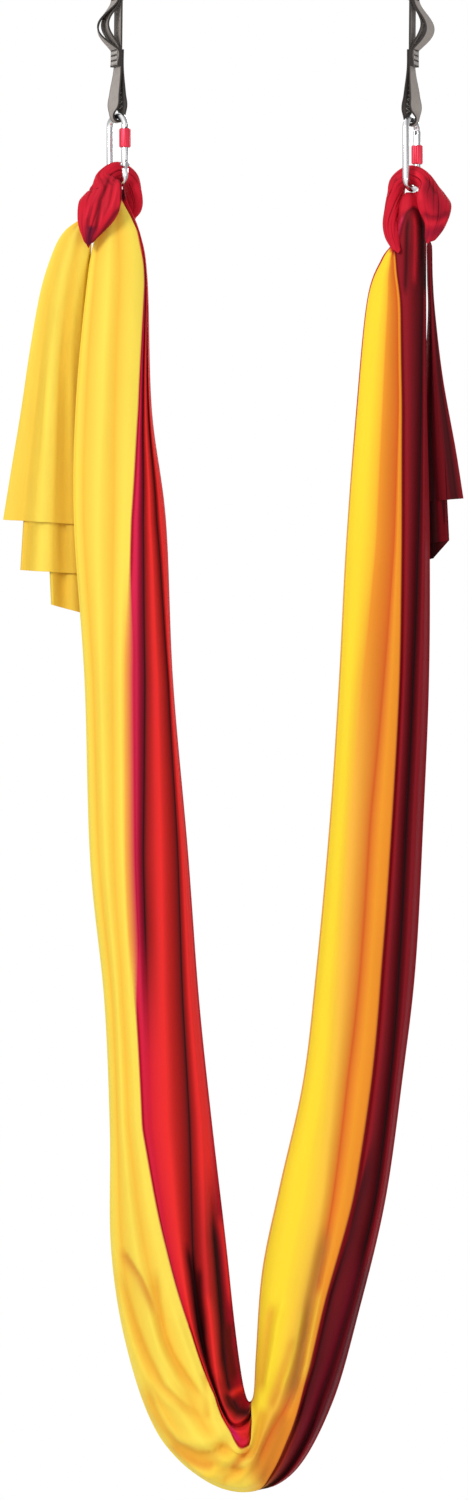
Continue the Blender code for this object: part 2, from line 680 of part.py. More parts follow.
RIGHT_LEG = [
    (-0.037, 0.7750, -0.187, 0.7640, 0.0430, 0.0),
    (-0.012, 0.6790, -0.154, 0.6840, 0.0400, 0.0),
    (0.006, 0.5950, -0.135, 0.5970, 0.0380, 0.0),
    (0.017, 0.4840, -0.116, 0.4840, 0.0370, 0.0),
    (0.025, 0.3770, -0.103, 0.3770, 0.0360, 0.0),
    (0.026, 0.2690, -0.093, 0.2730, 0.0330, 0.0),
    (0.022, 0.1660, -0.078, 0.1660, 0.0300, 0.0),
    (0.019, 0.0850, -0.063, 0.0850, 0.0220, 0.0),
    (0.017, 0.0550, -0.043, 0.0540, 0.0150, 0.0),
    (0.017, 0.0370, -0.014, 0.0370, 0.0130, -0.002),
    (0.017, 0.0115, -0.014, 0.0115, 0.0112, -0.0025),
    (0.009, 0.0035, -0.010, 0.0035, 0.0066, -0.002),
]
# Where the four front folds lie, in percent of the width from the outer edge, from the left knot
# round to the right one. The first pair runs up the right leg and the second up the left leg.
FRONT_FOLDS = [
    (15, 35, 66, 88),
    (14, 32, 63, 90),
    (12, 26, 44, 86),
    (10, 22, 36, 74),
    (10, 28, 62, 86),
    (6, 26, 66, 90),
    (12, 32, 60, 84),
    (14, 34, 62, 84),
    (10, 34, 60, 82),
]
BACK_FOLDS = [
    (20, 42, 60, 82),
    (18, 38, 62, 85),
    (22, 40, 58, 80),
    (16, 36, 60, 82),
    (20, 40, 60, 84),
    (18, 42, 64, 82),
    (22, 38, 56, 80),
    (16, 40, 62, 84),
    (20, 42, 60, 80),
]
FOLD_DEPTH = (0.20, 0.34, 0.34, 0.22)
FOLD_SPACING = 3  # points round the section from one fold to the next
SECTION_STEPS = 15
BUNDLE_ROUND = 0.4  # 0.5 makes the bundle's section an ellipse, and less makes it fuller


def share_at(folds, step):
    """Where across the width a point of the section lies, with every third point on a fold."""
    marks = [0.0, *folds, 100.0]
    index, part = divmod(step, FOLD_SPACING)
    if index >= len(marks) - 1:
        return 1.0
    return (marks[index] + (marks[index + 1] - marks[index]) * part / FOLD_SPACING) / 100


def section(outer, inner, middle, half_depth, folds, depths):
    """A closed, folded section between two points, front and back."""
    centre = (outer + inner) / 2
    reach = (outer - inner) / 2
    ring = []
    for way, marks in ((-1, folds[0]), (1, folds[1])):
        for step in range(SECTION_STEPS):
            place = step if way < 0 else SECTION_STEPS - step
            across = 1 - 2 * share_at(marks, place)
            on_fold = place % FOLD_SPACING == 0 and 0 < place < SECTION_STEPS
            dent = depths[place // FOLD_SPACING - 1] if on_fold else 0.0
            depth = half_depth * abs(1 - across ** 2) ** BUNDLE_ROUND * (1.0 - dent)
            ring.append(centre + reach * across + Vector((0.0, middle + way * depth, 0.0)))
    return ring


def hung(rows, start):
    """Sling rows placed from a point, their drops taken as shares of the sling's."""
    return [
        (start.x + ox, start.z - od * SLING_DROP, start.x + ix, start.z - iz * SLING_DROP, depth, start.y + y)
        for ox, od, ix, iz, depth, y in rows
    ]


def sling(name):
    middle = (LEFT["basket"] + RIGHT["basket"]) / 2
    rows = hung(LEFT_LEG, LEFT["basket"]) + hung(BOWL, middle) + hung(RIGHT_LEG, RIGHT["basket"])
    route = through(rows, SLING_RINGS)
    front = through(FRONT_FOLDS, SLING_RINGS)
    back = through(BACK_FOLDS, SLING_RINGS)
    rings = []
    for i, (outer_x, outer_z, inner_x, inner_z, half_depth, middle) in enumerate(route):
        outer = Vector((outer_x, 0.0, outer_z))
        inner = Vector((inner_x, 0.0, inner_z))
        rings.append(section(outer, inner, middle, half_depth, (front[i], back[i]), FOLD_DEPTH))
    mesh = loft(name, rings)
    smooth(mesh, 60)
    return mesh


# Each tail is a curved band of folded cloth. The left one comes out behind its knot's front lobe,
# and the right one hangs from the lobe's tip. Its rows run down to the hem: outer edge and inner
# edge sideways from the basket bar, how far down from the tail's top, how far each edge lies behind
# the straps, and the thickness.
LEFT_TAIL = [
    (-0.0570, -0.0350, 0.0000, -0.0105, -0.0105, 2 * TAIL_ROUND),
    (-0.0750, -0.0370, 0.0140, -0.0100, -0.0095, 0.012),
    (-0.0900, -0.0400, 0.0398, -0.0075, -0.0070, 0.014),
    (-0.1085, -0.0475, 0.0966, -0.005, 0.003, 0.016),
    (-0.1241, -0.0500, 0.1818, -0.003, 0.026, 0.018),
    (-0.1369, -0.0455, 0.2670, -0.002, 0.042, 0.020),
    (-0.1511, -0.0375, 0.3522, -0.004, 0.051, 0.020),
    (-0.1620, -0.0320, 0.4190, -0.006, 0.055, 0.019),
]
RIGHT_TAIL = [
    (0.028, 0.015, 0.0, -0.026, -0.022, 2 * TAIL_ROUND),
    (0.029, 0.0215, 0.045, -0.009, -0.002, 0.013),
    (0.034, 0.0235, 0.097, 0.000, 0.010, 0.014),
    (0.045, 0.018, 0.187, 0.004, 0.032, 0.015),
    (0.063, 0.008, 0.287, 0.004, 0.050, 0.016),
    (0.074, 0.006, 0.357, 0.004, 0.058, 0.015),
]
# How far the hem hangs below the last station, from the outer edge to the inner one.
LEFT_HEM = [0.0, 0.004, 0.066, 0.074, 0.078, 0.110, 0.132, 0.140]
RIGHT_HEM = [0.0, 0.002, 0.050, 0.062, 0.072, 0.080, 0.086, 0.090]
LEFT_TAIL_DROP = 0.0523
RIGHT_TAIL_DROP = -RIGHT_FRONT[-1][2] + CLOTH_GAP + TAIL_ROUND
TAIL_STEPS = 13
TAIL_RINGS = 20
TAIL_WAVES = 3.5
TAIL_WAVE = 0.22
TAIL_CURL = 1.3


def tail(name, stations, top_place, hem):
    """A curved, waved band with a rounded top and a stepped hem."""
    rows = [
        (top_place.x + outer, top_place.x + inner, top_place.z - down, *rest)
        for outer, inner, down, *rest in through(stations, TAIL_RINGS)
    ]
    drops = [row[0] for row in through([(d,) for d in hem], TAIL_STEPS)]
    top = rows[0]
    rings = []
    cap = [math.radians(75), math.radians(45), math.radians(18)]
    for a in cap:
        shrink = math.cos(a)
        lift = TAIL_ROUND * math.sin(a)
        rings.append((top[0], top[1], top[2] + lift, top[3], top[4], top[5] * shrink, 0.0))
    for i, row in enumerate(rows):
        fall = max(0.0, (i / (TAIL_RINGS - 1) - 0.25) / 0.75) ** 1.5
        rings.append((*row, fall))
    made = []
    for outer_x, inner_x, height, outer_y, inner_y, thick, fall in rings:
        ring = []
        for way in (-1, 1):
            for step in range(TAIL_STEPS):
                k = step if way < 0 else TAIL_STEPS - 1 - step
                t = k / (TAIL_STEPS - 1)
                x = outer_x + (inner_x - outer_x) * t
                y = outer_y + (inner_y - outer_y) * t ** TAIL_CURL
                wave = TAIL_WAVE * thick * math.sin(TAIL_WAVES * 2 * math.pi * t) * min(1.0, fall * 3 + 0.2)
                half = thick / 2 * (1.0 - 0.65 * abs(2 * t - 1) ** 3)
                ring.append(Vector((x, y + wave + way * half, height - drops[k] * fall)))
        made.append(ring)
    mesh = loft(name, made)
    smooth(mesh, 60)
    return mesh


def add_cloth(name, mesh, paint, place, parent=None):
    """A cloth piece built in world space, carried by an axis at a place."""
    mesh.transform(Matrix.Translation(-Vector(place)))
    add_part(name, mesh, paint, parent)


def cloth():
    pivot = LEFT["basket"] + Vector((0.0, 0.0, PIVOT_LIFT))
    swing = add_axis("hammock_swing_axis", pivot)
    add_cloth("left_knot", knot(LEFT, LEFT_FRONT, LEFT_BACK), CRIMSON, pivot, swing)
    add_cloth("right_knot", knot(RIGHT, RIGHT_FRONT, RIGHT_BACK), CRIMSON, pivot, swing)
    add_cloth("sling", sling("sling"), YELLOW, pivot, swing)
    for side, drop, stations, hem, paint in (
        (LEFT, LEFT_TAIL_DROP, LEFT_TAIL, LEFT_HEM, YELLOW),
        (RIGHT, RIGHT_TAIL_DROP, RIGHT_TAIL, RIGHT_HEM, DARK_RED),
    ):
        name = f"{side['name']}_tail"
        first = stations[0]
        top = side["basket"] - Vector((0.0, 0.0, drop))
        place = top + Vector(((first[0] + first[1]) / 2, (first[3] + first[4]) / 2, 0.0))
        axis = add_axis(f"{name}_axis", place - pivot, 0.0, swing)
        add_cloth(name, tail(name, stations, top, hem), paint, place, axis)


cloth()
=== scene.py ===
"""Aerial yoga hammock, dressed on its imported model: two webbing straps, two screw-lock carabiners
and one long nylon cloth. Metres, +Z up, +Y away from the viewer."""

import math

import bmesh
import bpy
import numpy as np
from mathutils import Matrix, Vector, noise


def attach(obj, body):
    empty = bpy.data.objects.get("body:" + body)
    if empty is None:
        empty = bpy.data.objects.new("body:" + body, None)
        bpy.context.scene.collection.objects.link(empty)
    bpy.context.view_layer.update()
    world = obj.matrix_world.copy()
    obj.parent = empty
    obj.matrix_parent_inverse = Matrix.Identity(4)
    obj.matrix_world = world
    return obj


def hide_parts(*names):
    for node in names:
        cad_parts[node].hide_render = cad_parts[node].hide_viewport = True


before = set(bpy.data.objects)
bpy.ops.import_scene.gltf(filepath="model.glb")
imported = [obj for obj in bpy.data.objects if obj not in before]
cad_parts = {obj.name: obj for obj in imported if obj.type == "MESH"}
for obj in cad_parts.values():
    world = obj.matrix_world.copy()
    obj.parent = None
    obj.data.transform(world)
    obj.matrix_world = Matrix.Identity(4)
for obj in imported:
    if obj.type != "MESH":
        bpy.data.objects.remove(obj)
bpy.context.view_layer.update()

# Camera: level with the middle of the hammock and straight in front of it, eight metres away.
CAMERA_PLACE = (-0.0454, -8.0, -1.150)
VIEW_HEIGHT = 2.13
SENSOR = 36.0


def placed(name, data):
    """An object in the scene that holds a mesh, curve, lamp or camera."""
    made = bpy.data.objects.new(name, data)
    bpy.context.scene.collection.objects.link(made)
    return made


eye = bpy.data.cameras.new("camera")
eye.sensor_width = SENSOR
eye.lens = SENSOR * -CAMERA_PLACE[1] / VIEW_HEIGHT
camera = placed("camera", eye)
camera.location = CAMERA_PLACE
camera.rotation_euler = (math.radians(90), 0.0, 0.0)
bpy.context.scene.camera = camera
bpy.context.scene.view_settings.view_transform = "Standard"

# Studio: a plain pale floor, white all round, one large soft lamp in front on the left, a weaker one
# on the right and one behind.
FLOOR_DROP = 2.45
FLOOR_WIDTH = 2.6
WORLD_LIGHT = 0.56


class Signal:
    """A socket of a material, so that shader maths reads as plain sums."""

    def __init__(self, tree, socket):
        self.tree = tree
        self.socket = socket

    def maths(self, operation, *values):
        node = self.tree.nodes.new("ShaderNodeMath")
        node.operation = operation
        for slot, value in zip(node.inputs, values):
            feed(self.tree, slot, value)
        return Signal(self.tree, node.outputs[0])

    def twin(self, name):
        """Another output of the node that this one comes from."""
        return Signal(self.tree, self.socket.node.outputs[name])

    def __add__(self, other):
        return self.maths("ADD", self, other)

    def __radd__(self, other):
        return self.maths("ADD", other, self)

    def __sub__(self, other):
        return self.maths("SUBTRACT", self, other)

    def __rsub__(self, other):
        return self.maths("SUBTRACT", other, self)

    def __mul__(self, other):
        return self.maths("MULTIPLY", self, other)

    def __rmul__(self, other):
        return self.maths("MULTIPLY", other, self)

    def sine(self):
        return self.maths("SINE", self)

    def size(self):
        return self.maths("ABSOLUTE", self)

    def above(self, level):
        return self.maths("GREATER_THAN", self, level)


def feed(tree, slot, value):
    """Link a signal to a slot, or set its value."""
    if isinstance(value, Signal):
        tree.links.new(value.socket, slot)
    elif slot.type == "RGBA" and len(value) == 3:
        slot.default_value = (*value, 1.0)
    else:
        slot.default_value = value


class Finish:
    """One material and the nodes that make it."""

    def __init__(self, name, **shader_values):
        self.material = bpy.data.materials.new(name)
        self.material.use_nodes = True
        self.tree = self.material.node_tree
        self.shader = self.tree.nodes["Principled BSDF"]
        self.set(**shader_values)

    def set(self, **shader_values):
        for name, value in shader_values.items():
            feed(self.tree, self.shader.inputs[name.replace("_", " ")], value)

    def node(self, kind, settings=None, output=0, **values):
        """One node: its settings first, then its sockets by name, or i0, i1 by place."""
        made = self.tree.nodes.new(kind)
        for name, value in (settings or {}).items():
            setattr(made, name, value)
        for name, value in values.items():
            place = int(name[1:]) if name[0] == "i" and name[1:].isdigit() else name.replace("_", " ")
            feed(self.tree, made.inputs[place], value)
        return Signal(self.tree, made.outputs[output])

    def mix(self, share, first, shaded_dye):
        return self.node("ShaderNodeMix", {"data_type": "RGBA"}, output=2, i0=share, i6=first, i7=shaded_dye)

    def grain(self, scale, detail):
        return self.node("ShaderNodeTexNoise", Scale=scale, Detail=detail)

    def flat_cloth(self):
        """Both places on the flat cloth, in metres."""
        over = self.node("ShaderNodeSeparateXYZ", i0=self.node("ShaderNodeUVMap", {"uv_map": "cloth"}))
        return over, over.twin("Y")

    def bump(self, height, strength, distance):
        self.set(Normal=self.node("ShaderNodeBump", Height=height, Strength=strength, Distance=distance))


def srgb(red, green, blue):
    """A colour as a screen shows it, 0 to 255, in linear light."""
    shown = np.array((red, green, blue)) / 255
    return np.where(shown <= 0.04045, shown / 12.92, ((shown + 0.055) / 1.055) ** 2.4)


room = bpy.data.worlds.new("studio")
bpy.context.scene.world = room
room.use_nodes = True
background = room.node_tree.nodes["Background"]
rays = Signal(room.node_tree, room.node_tree.nodes.new("ShaderNodeLightPath").outputs["Is Camera Ray"])
# White to the camera, and also in what metal reflects and in what shows through glass.
seen = rays.maths("MINIMUM", rays + rays.twin("Is Glossy Ray") + rays.twin("Is Transmission Ray"), 1.0)
feed(room.node_tree, background.inputs["Color"], (1.0, 1.0, 1.0))
feed(room.node_tree, background.inputs["Strength"], seen * (1.0 - WORLD_LIGHT) + WORLD_LIGHT)

floor_mesh = bpy.data.meshes.new("floor")
shape = bmesh.new()
bmesh.ops.create_circle(shape, cap_ends=True, segments=96, radius=FLOOR_WIDTH / 2)
bmesh.ops.translate(shape, vec=(0.0, 0.0, -FLOOR_DROP), verts=shape.verts)
shape.to_mesh(floor_mesh)
shape.free()
floor = placed("floor", floor_mesh)
pale = Finish("pale floor", Base_Color=srgb(238, 238, 236), Roughness=0.9)
floor_mesh.materials.append(pale.material)

for lamp_name, place, aim, width, power in (
    ("key", (-3.2, -3.9, 0.9), (0.0, 0.0, -1.0), 1.8, 150.0),
    ("fill", (3.0, -3.6, -1.2), (0.0, 0.0, -1.2), 2.4, 45.0),
    ("back", (0.5, 3.5, 0.5), (0.0, 0.0, -1.0), 2.4, 60.0),
):
    lamp = bpy.data.lights.new(lamp_name, "AREA")
    lamp.shape = "DISK"
    lamp.size = width
    lamp.energy = power
    holder = placed(lamp_name, lamp)
    holder.location = place
    holder.rotation_euler = (Vector(aim) - Vector(place)).to_track_quat("-Z", "Y").to_euler()

# Straps: flat polyester webbing, 24 mm wide and 2.4 mm thick, sewn at two seams into an end loop
# above and below and two loops that stand away between. Bar tacks hold the seams.
WEB_WIDTH = 0.0240
WEB_THICK = 0.0024
PLY_STEP = 0.0027
UPPER_SEAM = (-0.062, -0.086)
LOWER_SEAM = (-0.156, -0.180)
BAR_WRAP = 0.00635
TOP_WRAP = 0.0132
TOP_CROWN = -0.0118
BAR_PINCH = 0.47
BAR_BOW = 0.0030
END_SPREAD = 0.0110
STRAPS = (
    {
        "name": "left", "top_x": -0.2085, "bar_x": -0.2110, "drop": 0.2496, "turn": math.radians(-63),
        "pocket": 0.0182, "side": 0.0265, "peak": 1.25, "twist": math.radians(-27),
        "end_twist": math.radians(18),
    },
    {
        "name": "right", "top_x": 0.2090, "bar_x": 0.2066, "drop": 0.2546, "turn": math.radians(69),
        "pocket": 0.0145, "side": 0.0210, "peak": 1.30, "twist": math.radians(-10),
        "end_twist": math.radians(-24),
    },
)


def arc(centre, radius, start, end, steps):
    """Points between the ends of an arc, whose angles are in degrees."""
    angles = [math.radians(start + (end - start) * i / steps) for i in range(1, steps)]
    return [(centre[0] + radius * math.cos(a), centre[1] + radius * math.sin(a)) for a in angles]


def end_loops(strap):
    """The straight ply's route: flap, end loop round the bar, long run, top loop and flap."""
    bar = (0.0, -strap["drop"])
    spread = LOWER_SEAM[1] - 0.55 * (strap["drop"] + LOWER_SEAM[1])
    narrow = WEB_WIDTH * BAR_PINCH
    twist = strap["end_twist"]
    above = [
        (0.72 * BAR_WRAP, spread, 0.96 * WEB_WIDTH, 0.0, 0.7 * twist),
        (BAR_WRAP, bar[1] + END_SPREAD, 0.84 * WEB_WIDTH, 0.3 * BAR_BOW, twist),
        (BAR_WRAP, bar[1], 1.1 * narrow, BAR_BOW, 0.0),
    ]
    route = [(PLY_STEP, z, WEB_WIDTH, 0.0, 0.0) for z in LOWER_SEAM] + above
    route += [(n, z, narrow, BAR_BOW, 0.0) for n, z in arc(bar, BAR_WRAP, 0, -180, 12)]
    route += [(-n, *rest) for n, *rest in reversed(above)]
    route += [(0.0, z, WEB_WIDTH, 0.0, 0.0) for z in (*LOWER_SEAM[::-1], *UPPER_SEAM[::-1])]
    crown = (0.0, TOP_CROWN)
    over = [(-TOP_WRAP, crown[1])] + arc(crown, TOP_WRAP, 180, 0, 9) + [(TOP_WRAP, crown[1])]
    route += [(n, z, WEB_WIDTH, 0.0, 0.0) for n, z in over]
    route += [(PLY_STEP, z, WEB_WIDTH, 0.0, 0.0) for z in UPPER_SEAM]
    return route


def loose_loop(ply, bulge, peak, ease, twist, steps=14):
    """The route of a ply that is sewn at both seams and stands away between them."""
    route = [(-ply * PLY_STEP, UPPER_SEAM[0], WEB_WIDTH, 0.0, 0.0)]
    for i in range(steps + 1):
        t = i / steps
        rise = math.sin(math.pi * t**peak) ** ease if 0 < i < steps else 0.0
        height = UPPER_SEAM[1] + (LOWER_SEAM[0] - UPPER_SEAM[1]) * t
        route.append((-ply * PLY_STEP - bulge * rise, height, WEB_WIDTH, 0.0, twist * rise**0.8))
    route.append((-ply * PLY_STEP, LOWER_SEAM[1], WEB_WIDTH, 0.0, 0.0))
    return route[::-1]


def strap_space(strap):
    """From a strap's own upright plane to where it hangs."""
    lean = (strap["bar_x"] - strap["top_x"]) / strap["drop"]
    shear = Matrix(((1, 0, -lean, strap["top_x"]), (0, 1, 0, 0), (0, 0, 1, 0), (0, 0, 0, 1)))
    return np.array(shear @ Matrix.Rotation(strap["turn"], 4, "Z"))


def unit(vectors):
    """The vectors at a length of one."""
    return vectors / np.linalg.norm(vectors, axis=-1, keepdims=True)


def squared(across, ahead):
    """Directions across a run, made square to it."""
    return unit(across - (across * ahead).sum(1)[:, None] * ahead)


def run_along(points):
    """How far each point of a line lies from its first, along it."""
    return np.concatenate([[0.0], np.cumsum(np.linalg.norm(np.diff(points, axis=0), axis=1))])


def lengths(points, axis):
    """How far each row or column of points lies along the cloth from the first, on average."""
    gaps = np.linalg.norm(np.diff(points, axis=axis), axis=2).mean(axis=1 - axis)
    return np.concatenate([[0.0], np.cumsum(gaps)])


def laid_cloth(name, points, tint=None, span=None):
    """A grid of cloth whose points lie at points[along][across], with its dye as an attribute."""
    along, across = points.shape[:2]
    shape = bmesh.new()
    bmesh.ops.create_grid(shape, x_segments=across - 1, y_segments=along - 1, size=0.5)
    flat = shape.loops.layers.uv.new("cloth")
    over = lengths(points, 1) if span is None else np.linspace(0.0, span, across)
    down = lengths(points, 0)
    places = []
    for corner in shape.verts:
        i = round((corner.co.x + 0.5) * (across - 1))
        j = round((corner.co.y + 0.5) * (along - 1))
        places.append((j, i))
        corner.co = points[j, i]
    for face in shape.faces:
        for loop in face.loops:
            j, i = places[loop.vert.index]
            loop[flat].uv = (over[i], down[j])
        face.smooth = True
    mesh = bpy.data.meshes.new(name)
    shape.to_mesh(mesh)
    shape.free()
    if tint is not None:
        dye = mesh.color_attributes.new("dye", "FLOAT_COLOR", "POINT")
        colours = np.ones((len(places), 4))
        colours[:, :3] = tint[tuple(np.array(places).T)]
        dye.data.foreach_set("color", colours.ravel())
    return placed(name, mesh)


ACROSS = 13
WEB_STEP = 0.0016
WEB_EDGE = 0.0007


def evenly(route):
    """Rows at even steps on a smooth curve through a route."""
    route = np.array(route, float)
    run = run_along(route[:, :2])
    slopes = np.gradient(route, run, axis=0)
    at = np.linspace(0.0, run[-1], round(run[-1] / WEB_STEP) + 1)
    start = np.clip(np.searchsorted(run, at, "right") - 1, 0, len(run) - 2)
    gap = (run[start + 1] - run[start])[:, None]
    t = (at[:, None] - run[start][:, None]) / gap
    return (
        route[start] * (2 * t**3 - 3 * t**2 + 1) + slopes[start] * gap * (t**3 - 2 * t**2 + t)
        + route[start + 1] * (3 * t**2 - 2 * t**3) + slopes[start + 1] * gap * (t**3 - t**2)
    )


def thicken(sheet):
    """Give flat webbing its thickness and soft edges, with its other finish behind and on its rims: a
    darker copy of it, painted shade.
    """
    wall = sheet.modifiers.new("Thickness", "SOLIDIFY")
    wall.thickness = WEB_THICK
    wall.offset = 0.0
    wall.use_even_offset = True
    wall.material_offset = 1
    wall.material_offset_rim = 1
    edge = sheet.modifiers.new("Soft edge", "BEVEL")
    edge.width = WEB_EDGE
    edge.segments = 2
    edge.limit_method = "ANGLE"
    edge.angle_limit = math.radians(50)


def webbing(name, route, strap):
    """Webbing along a route of (offset, height, width, bow, twist), and where thread can lie on it."""
    rows = evenly(route)
    step = np.gradient(rows[:, :2], axis=0)
    ahead = unit(np.stack([0 * step[:, 0], step[:, 0], step[:, 1]], axis=1))
    across = squared(np.stack([np.cos(rows[:, 4]), np.sin(rows[:, 4]), 0 * rows[:, 4]], axis=1), ahead)
    face = np.cross(across, ahead)
    middle = np.stack([0 * rows[:, 0], rows[:, 0], rows[:, 1]], axis=1)
    space = strap_space(strap)

    def lie(share, proud):
        """Points at a share of the half width, this far out of the cloth's face."""
        line = middle + across * (share * rows[:, 2] / 2)[:, None]
        line = line + face * (rows[:, 3] * share**2 + proud)[:, None]
        return line @ space[:3, :3].T + space[:3, 3]

    lines = [lie(share, 0.0) for share in np.linspace(-1.0, 1.0, ACROSS)]
    made = laid_cloth(name, np.stack(lines, axis=1), span=WEB_WIDTH)
    thicken(made)
    return made, lie, rows


FULL_TURN = 2 * math.pi
RIB = 0.0012
PICK = 0.0016
BONE_WIDE = 0.0034
BONE_LONG = 0.0060
BONE_SWAY = 0.0035
EDGE_BAND = 0.0016


def web_finish(name, low, high, edge_colour):
    """Woven polyester: ribs across, a herringbone along, and darker along both edges."""
    finish = Finish(name, Roughness=0.78, Specular_IOR_Level=0.3)
    u, v = finish.flat_cloth()
    warp = (u * (FULL_TURN / RIB)).sine()
    weft = (v * (FULL_TURN / PICK)).sine()
    sway = (v * (math.pi / BONE_LONG)).sine().size() * BONE_SWAY
    bone = ((u + sway) * (FULL_TURN / BONE_WIDE)).sine()
    edge_on = (u - WEB_WIDTH / 2).size().above(WEB_WIDTH / 2 - EDGE_BAND)
    fluff = finish.grain(420.0, 2.0)
    wear = finish.grain(26.0, 2.0)
    share = (warp * weft * 0.5 + 0.5) * 0.30 + bone * 0.10 + fluff * 0.25 + wear * 0.35
    finish.set(Base_Color=finish.mix(edge_on * 0.8, finish.mix(share, low, high), edge_colour))
    finish.bump(warp * weft + bone * 0.8, 0.5, 0.0004)
    return finish


outer_web = web_finish(
    "grey webbing, outer face", srgb(122, 113, 108), srgb(206, 197, 190), srgb(60, 54, 52)
)
# The inner face finish is a darker copy of the outer one: painted shade on the inner faces and rims.
shaded_inner_web = web_finish("grey webbing, inner face", srgb(44, 40, 38), srgb(104, 97, 92), srgb(40, 36, 35))
# The charcoal thread lies between the pale bar tacks as painted shade in the dips of the seams.
thread = Finish("charcoal thread", Base_Color=srgb(46, 41, 40), Roughness=0.6)
pale_thread = Finish("pale thread", Base_Color=srgb(216, 210, 204), Roughness=0.55)


THREAD = 0.0006
TACK_HALF = 0.0098
TACK_LIFT = 0.0002
TACK_BARS = (0.20, 0.50, 0.80)
TACK_SHADE_LINES = (0.04, 0.35, 0.65, 0.96)
BAR_REACH, BAR_TURNS = 0.0024, 38
ROW_REACH, ROW_TURNS = 0.0005, 30
RUN_SHARE = 0.34


def stitching(name, lines, finish):
    """Thread laid along lines of points."""
    data = bpy.data.curves.new(name, "CURVE")
    data.dimensions = "3D"
    data.bevel_depth = THREAD / 2
    data.bevel_resolution = 1
    data.use_fill_caps = True
    for line in lines:
        spline = data.splines.new("POLY")
        spline.points.add(len(line) - 1)
        for knot, place in zip(spline.points, line):
            knot.co = (*place, 1.0)
    drawn = placed(name, data)
    bpy.context.view_layer.update()
    mesh = bpy.data.meshes.new_from_object(drawn.evaluated_get(bpy.context.evaluated_depsgraph_get()))
    bpy.data.objects.remove(drawn)
    mesh.materials.clear()
    mesh.materials.append(finish.material)
    made = placed(name, mesh)
    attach(made, "straps")


def zigzag(strap, face, height, reach, turns):
    """Points of a zigzag line of thread across a seam's face."""
    space = strap_space(strap)
    shares = [2 * i / turns - 1 for i in range(turns + 1)]
    flat = np.array([(TACK_HALF * a, face, height + reach * (-1) ** i) for i, a in enumerate(shares)])
    return flat @ space[:3, :3].T + space[:3, 3]


def run_down(strap, lie, rows):
    """A zigzag of thread on each face of the end loop, from the lower seam down to the bar."""
    first = int(np.argmin(rows[:, 1] > LOWER_SEAM[1] - 0.004))
    last = int(np.argmin(rows[:, 1] > 0.006 - strap["drop"]))
    lines = []
    for way in (-1, 1):
        proud = way * (WEB_THICK / 2 + THREAD / 3)
        sides = [lie(share, proud) for share in (RUN_SHARE, -RUN_SHARE)]
        lines.append([sides[i % 2][first + 2 * i] for i in range((last - first) // 2)])
    return lines


def dress(made, body, node, slot, *finishes):
    """Give a piece its finishes and its body, in place of a CAD node. Its slot's name is not used."""
    for finish in finishes:
        made.data.materials.append(finish.material)
    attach(made, body)
    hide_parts(node)


def strap_pieces(strap):
    """One strap: its three plies, the thread that shows on them, and charcoal thread between the bar
    tacks that is painted shade.
    """
    side = strap["name"]
    routes = {
        "webbing": end_loops(strap),
        "pocket_loop": loose_loop(1, strap["pocket"], 1.0, 1.6, 0.0),
        "side_loop": loose_loop(2, strap["side"], strap["peak"], 1.15, strap["twist"]),
    }
    for piece, route in routes.items():
        ply, lie, rows = webbing(f"{side}_{piece}_ply", route, strap)
        dress(ply, "straps", f"{side}_strap_{piece}", "webbing", outer_web, shaded_inner_web)
        if piece == "webbing":
            stitching(f"{side}_end_loop_stitching", run_down(strap, lie, rows), pale_thread)
    front = PLY_STEP + WEB_THICK / 2 + TACK_LIFT
    back = -2 * PLY_STEP - WEB_THICK / 2 - TACK_LIFT
    bars, gaps = [], []
    for start, end in (UPPER_SEAM, LOWER_SEAM):
        for face in (front, back):
            for part in TACK_BARS:
                bars.append(zigzag(strap, face, start + (end - start) * part, BAR_REACH, BAR_TURNS))
            for part in TACK_SHADE_LINES:
                gaps.append(zigzag(strap, face, start + (end - start) * part, ROW_REACH, ROW_TURNS))
    stitching(f"{side}_bar_tacks", bars, pale_thread)
    # The charcoal rows between the bars are painted shade.
    stitching(f"{side}_tack_shade_rows", gaps, thread)


for strap in STRAPS:
    strap_pieces(strap)

# Carabiners: forged and polished aluminium frames and gates, red anodised screw sleeves with a
# fluted grip, and small steel pins, springs and pushers. Each hangs in its strap's lower end loop, and
# its gate turns on a rivet.
alloy = Finish("polished aluminium", Metallic=1.0)
alloy_way = alloy.node("ShaderNodeTexCoord", output=1)
way_x = alloy.node("ShaderNodeSeparateXYZ", i0=alloy_way)
alloy_turn = way_x.maths("ARCTAN2", way_x.twin("Y"), way_x)
alloy_grain = alloy.grain(160.0, 4.0)
alloy_scuffs = alloy.grain(38.0, 2.0)
# Light and dark bands by the way the surface faces, mixed with scuffs into the base colour: painted
# reflections of a studio.
painted_reflection_bands = (alloy_turn * 3.0 + way_x.twin("Z") * 1.4 + 1.1).sine() * 0.5 + 0.5
alloy.set(
    Base_Color=alloy.mix(
        painted_reflection_bands * 0.85 + alloy_scuffs * 0.15, srgb(128, 128, 132), srgb(252, 252, 253)
    ),
    Roughness=alloy_grain * 0.16 + 0.14,
)
alloy.bump(alloy_grain, 0.06, 0.0004)
steel = Finish("bright steel", Metallic=1.0)
steel_grain = steel.grain(220.0, 3.0)
steel.set(
    Base_Color=steel.mix(steel_grain, srgb(150, 150, 152), srgb(206, 206, 208)),
    Roughness=steel_grain * 0.2 + 0.18,
)
red_alloy = Finish("red anodised aluminium", Metallic=0.55, Specular_IOR_Level=0.5)
red_grain = red_alloy.grain(190.0, 3.0)
red_wear = red_alloy.grain(60.0, 2.0)
red_alloy.set(
    Base_Color=red_alloy.mix(red_grain * 0.6 + red_wear * 0.5, srgb(172, 18, 42), srgb(232, 52, 78)),
    Roughness=red_grain * 0.14 + 0.24,
)
red_alloy.bump(red_grain, 0.05, 0.0003)


MERGE_GAP = 0.000002


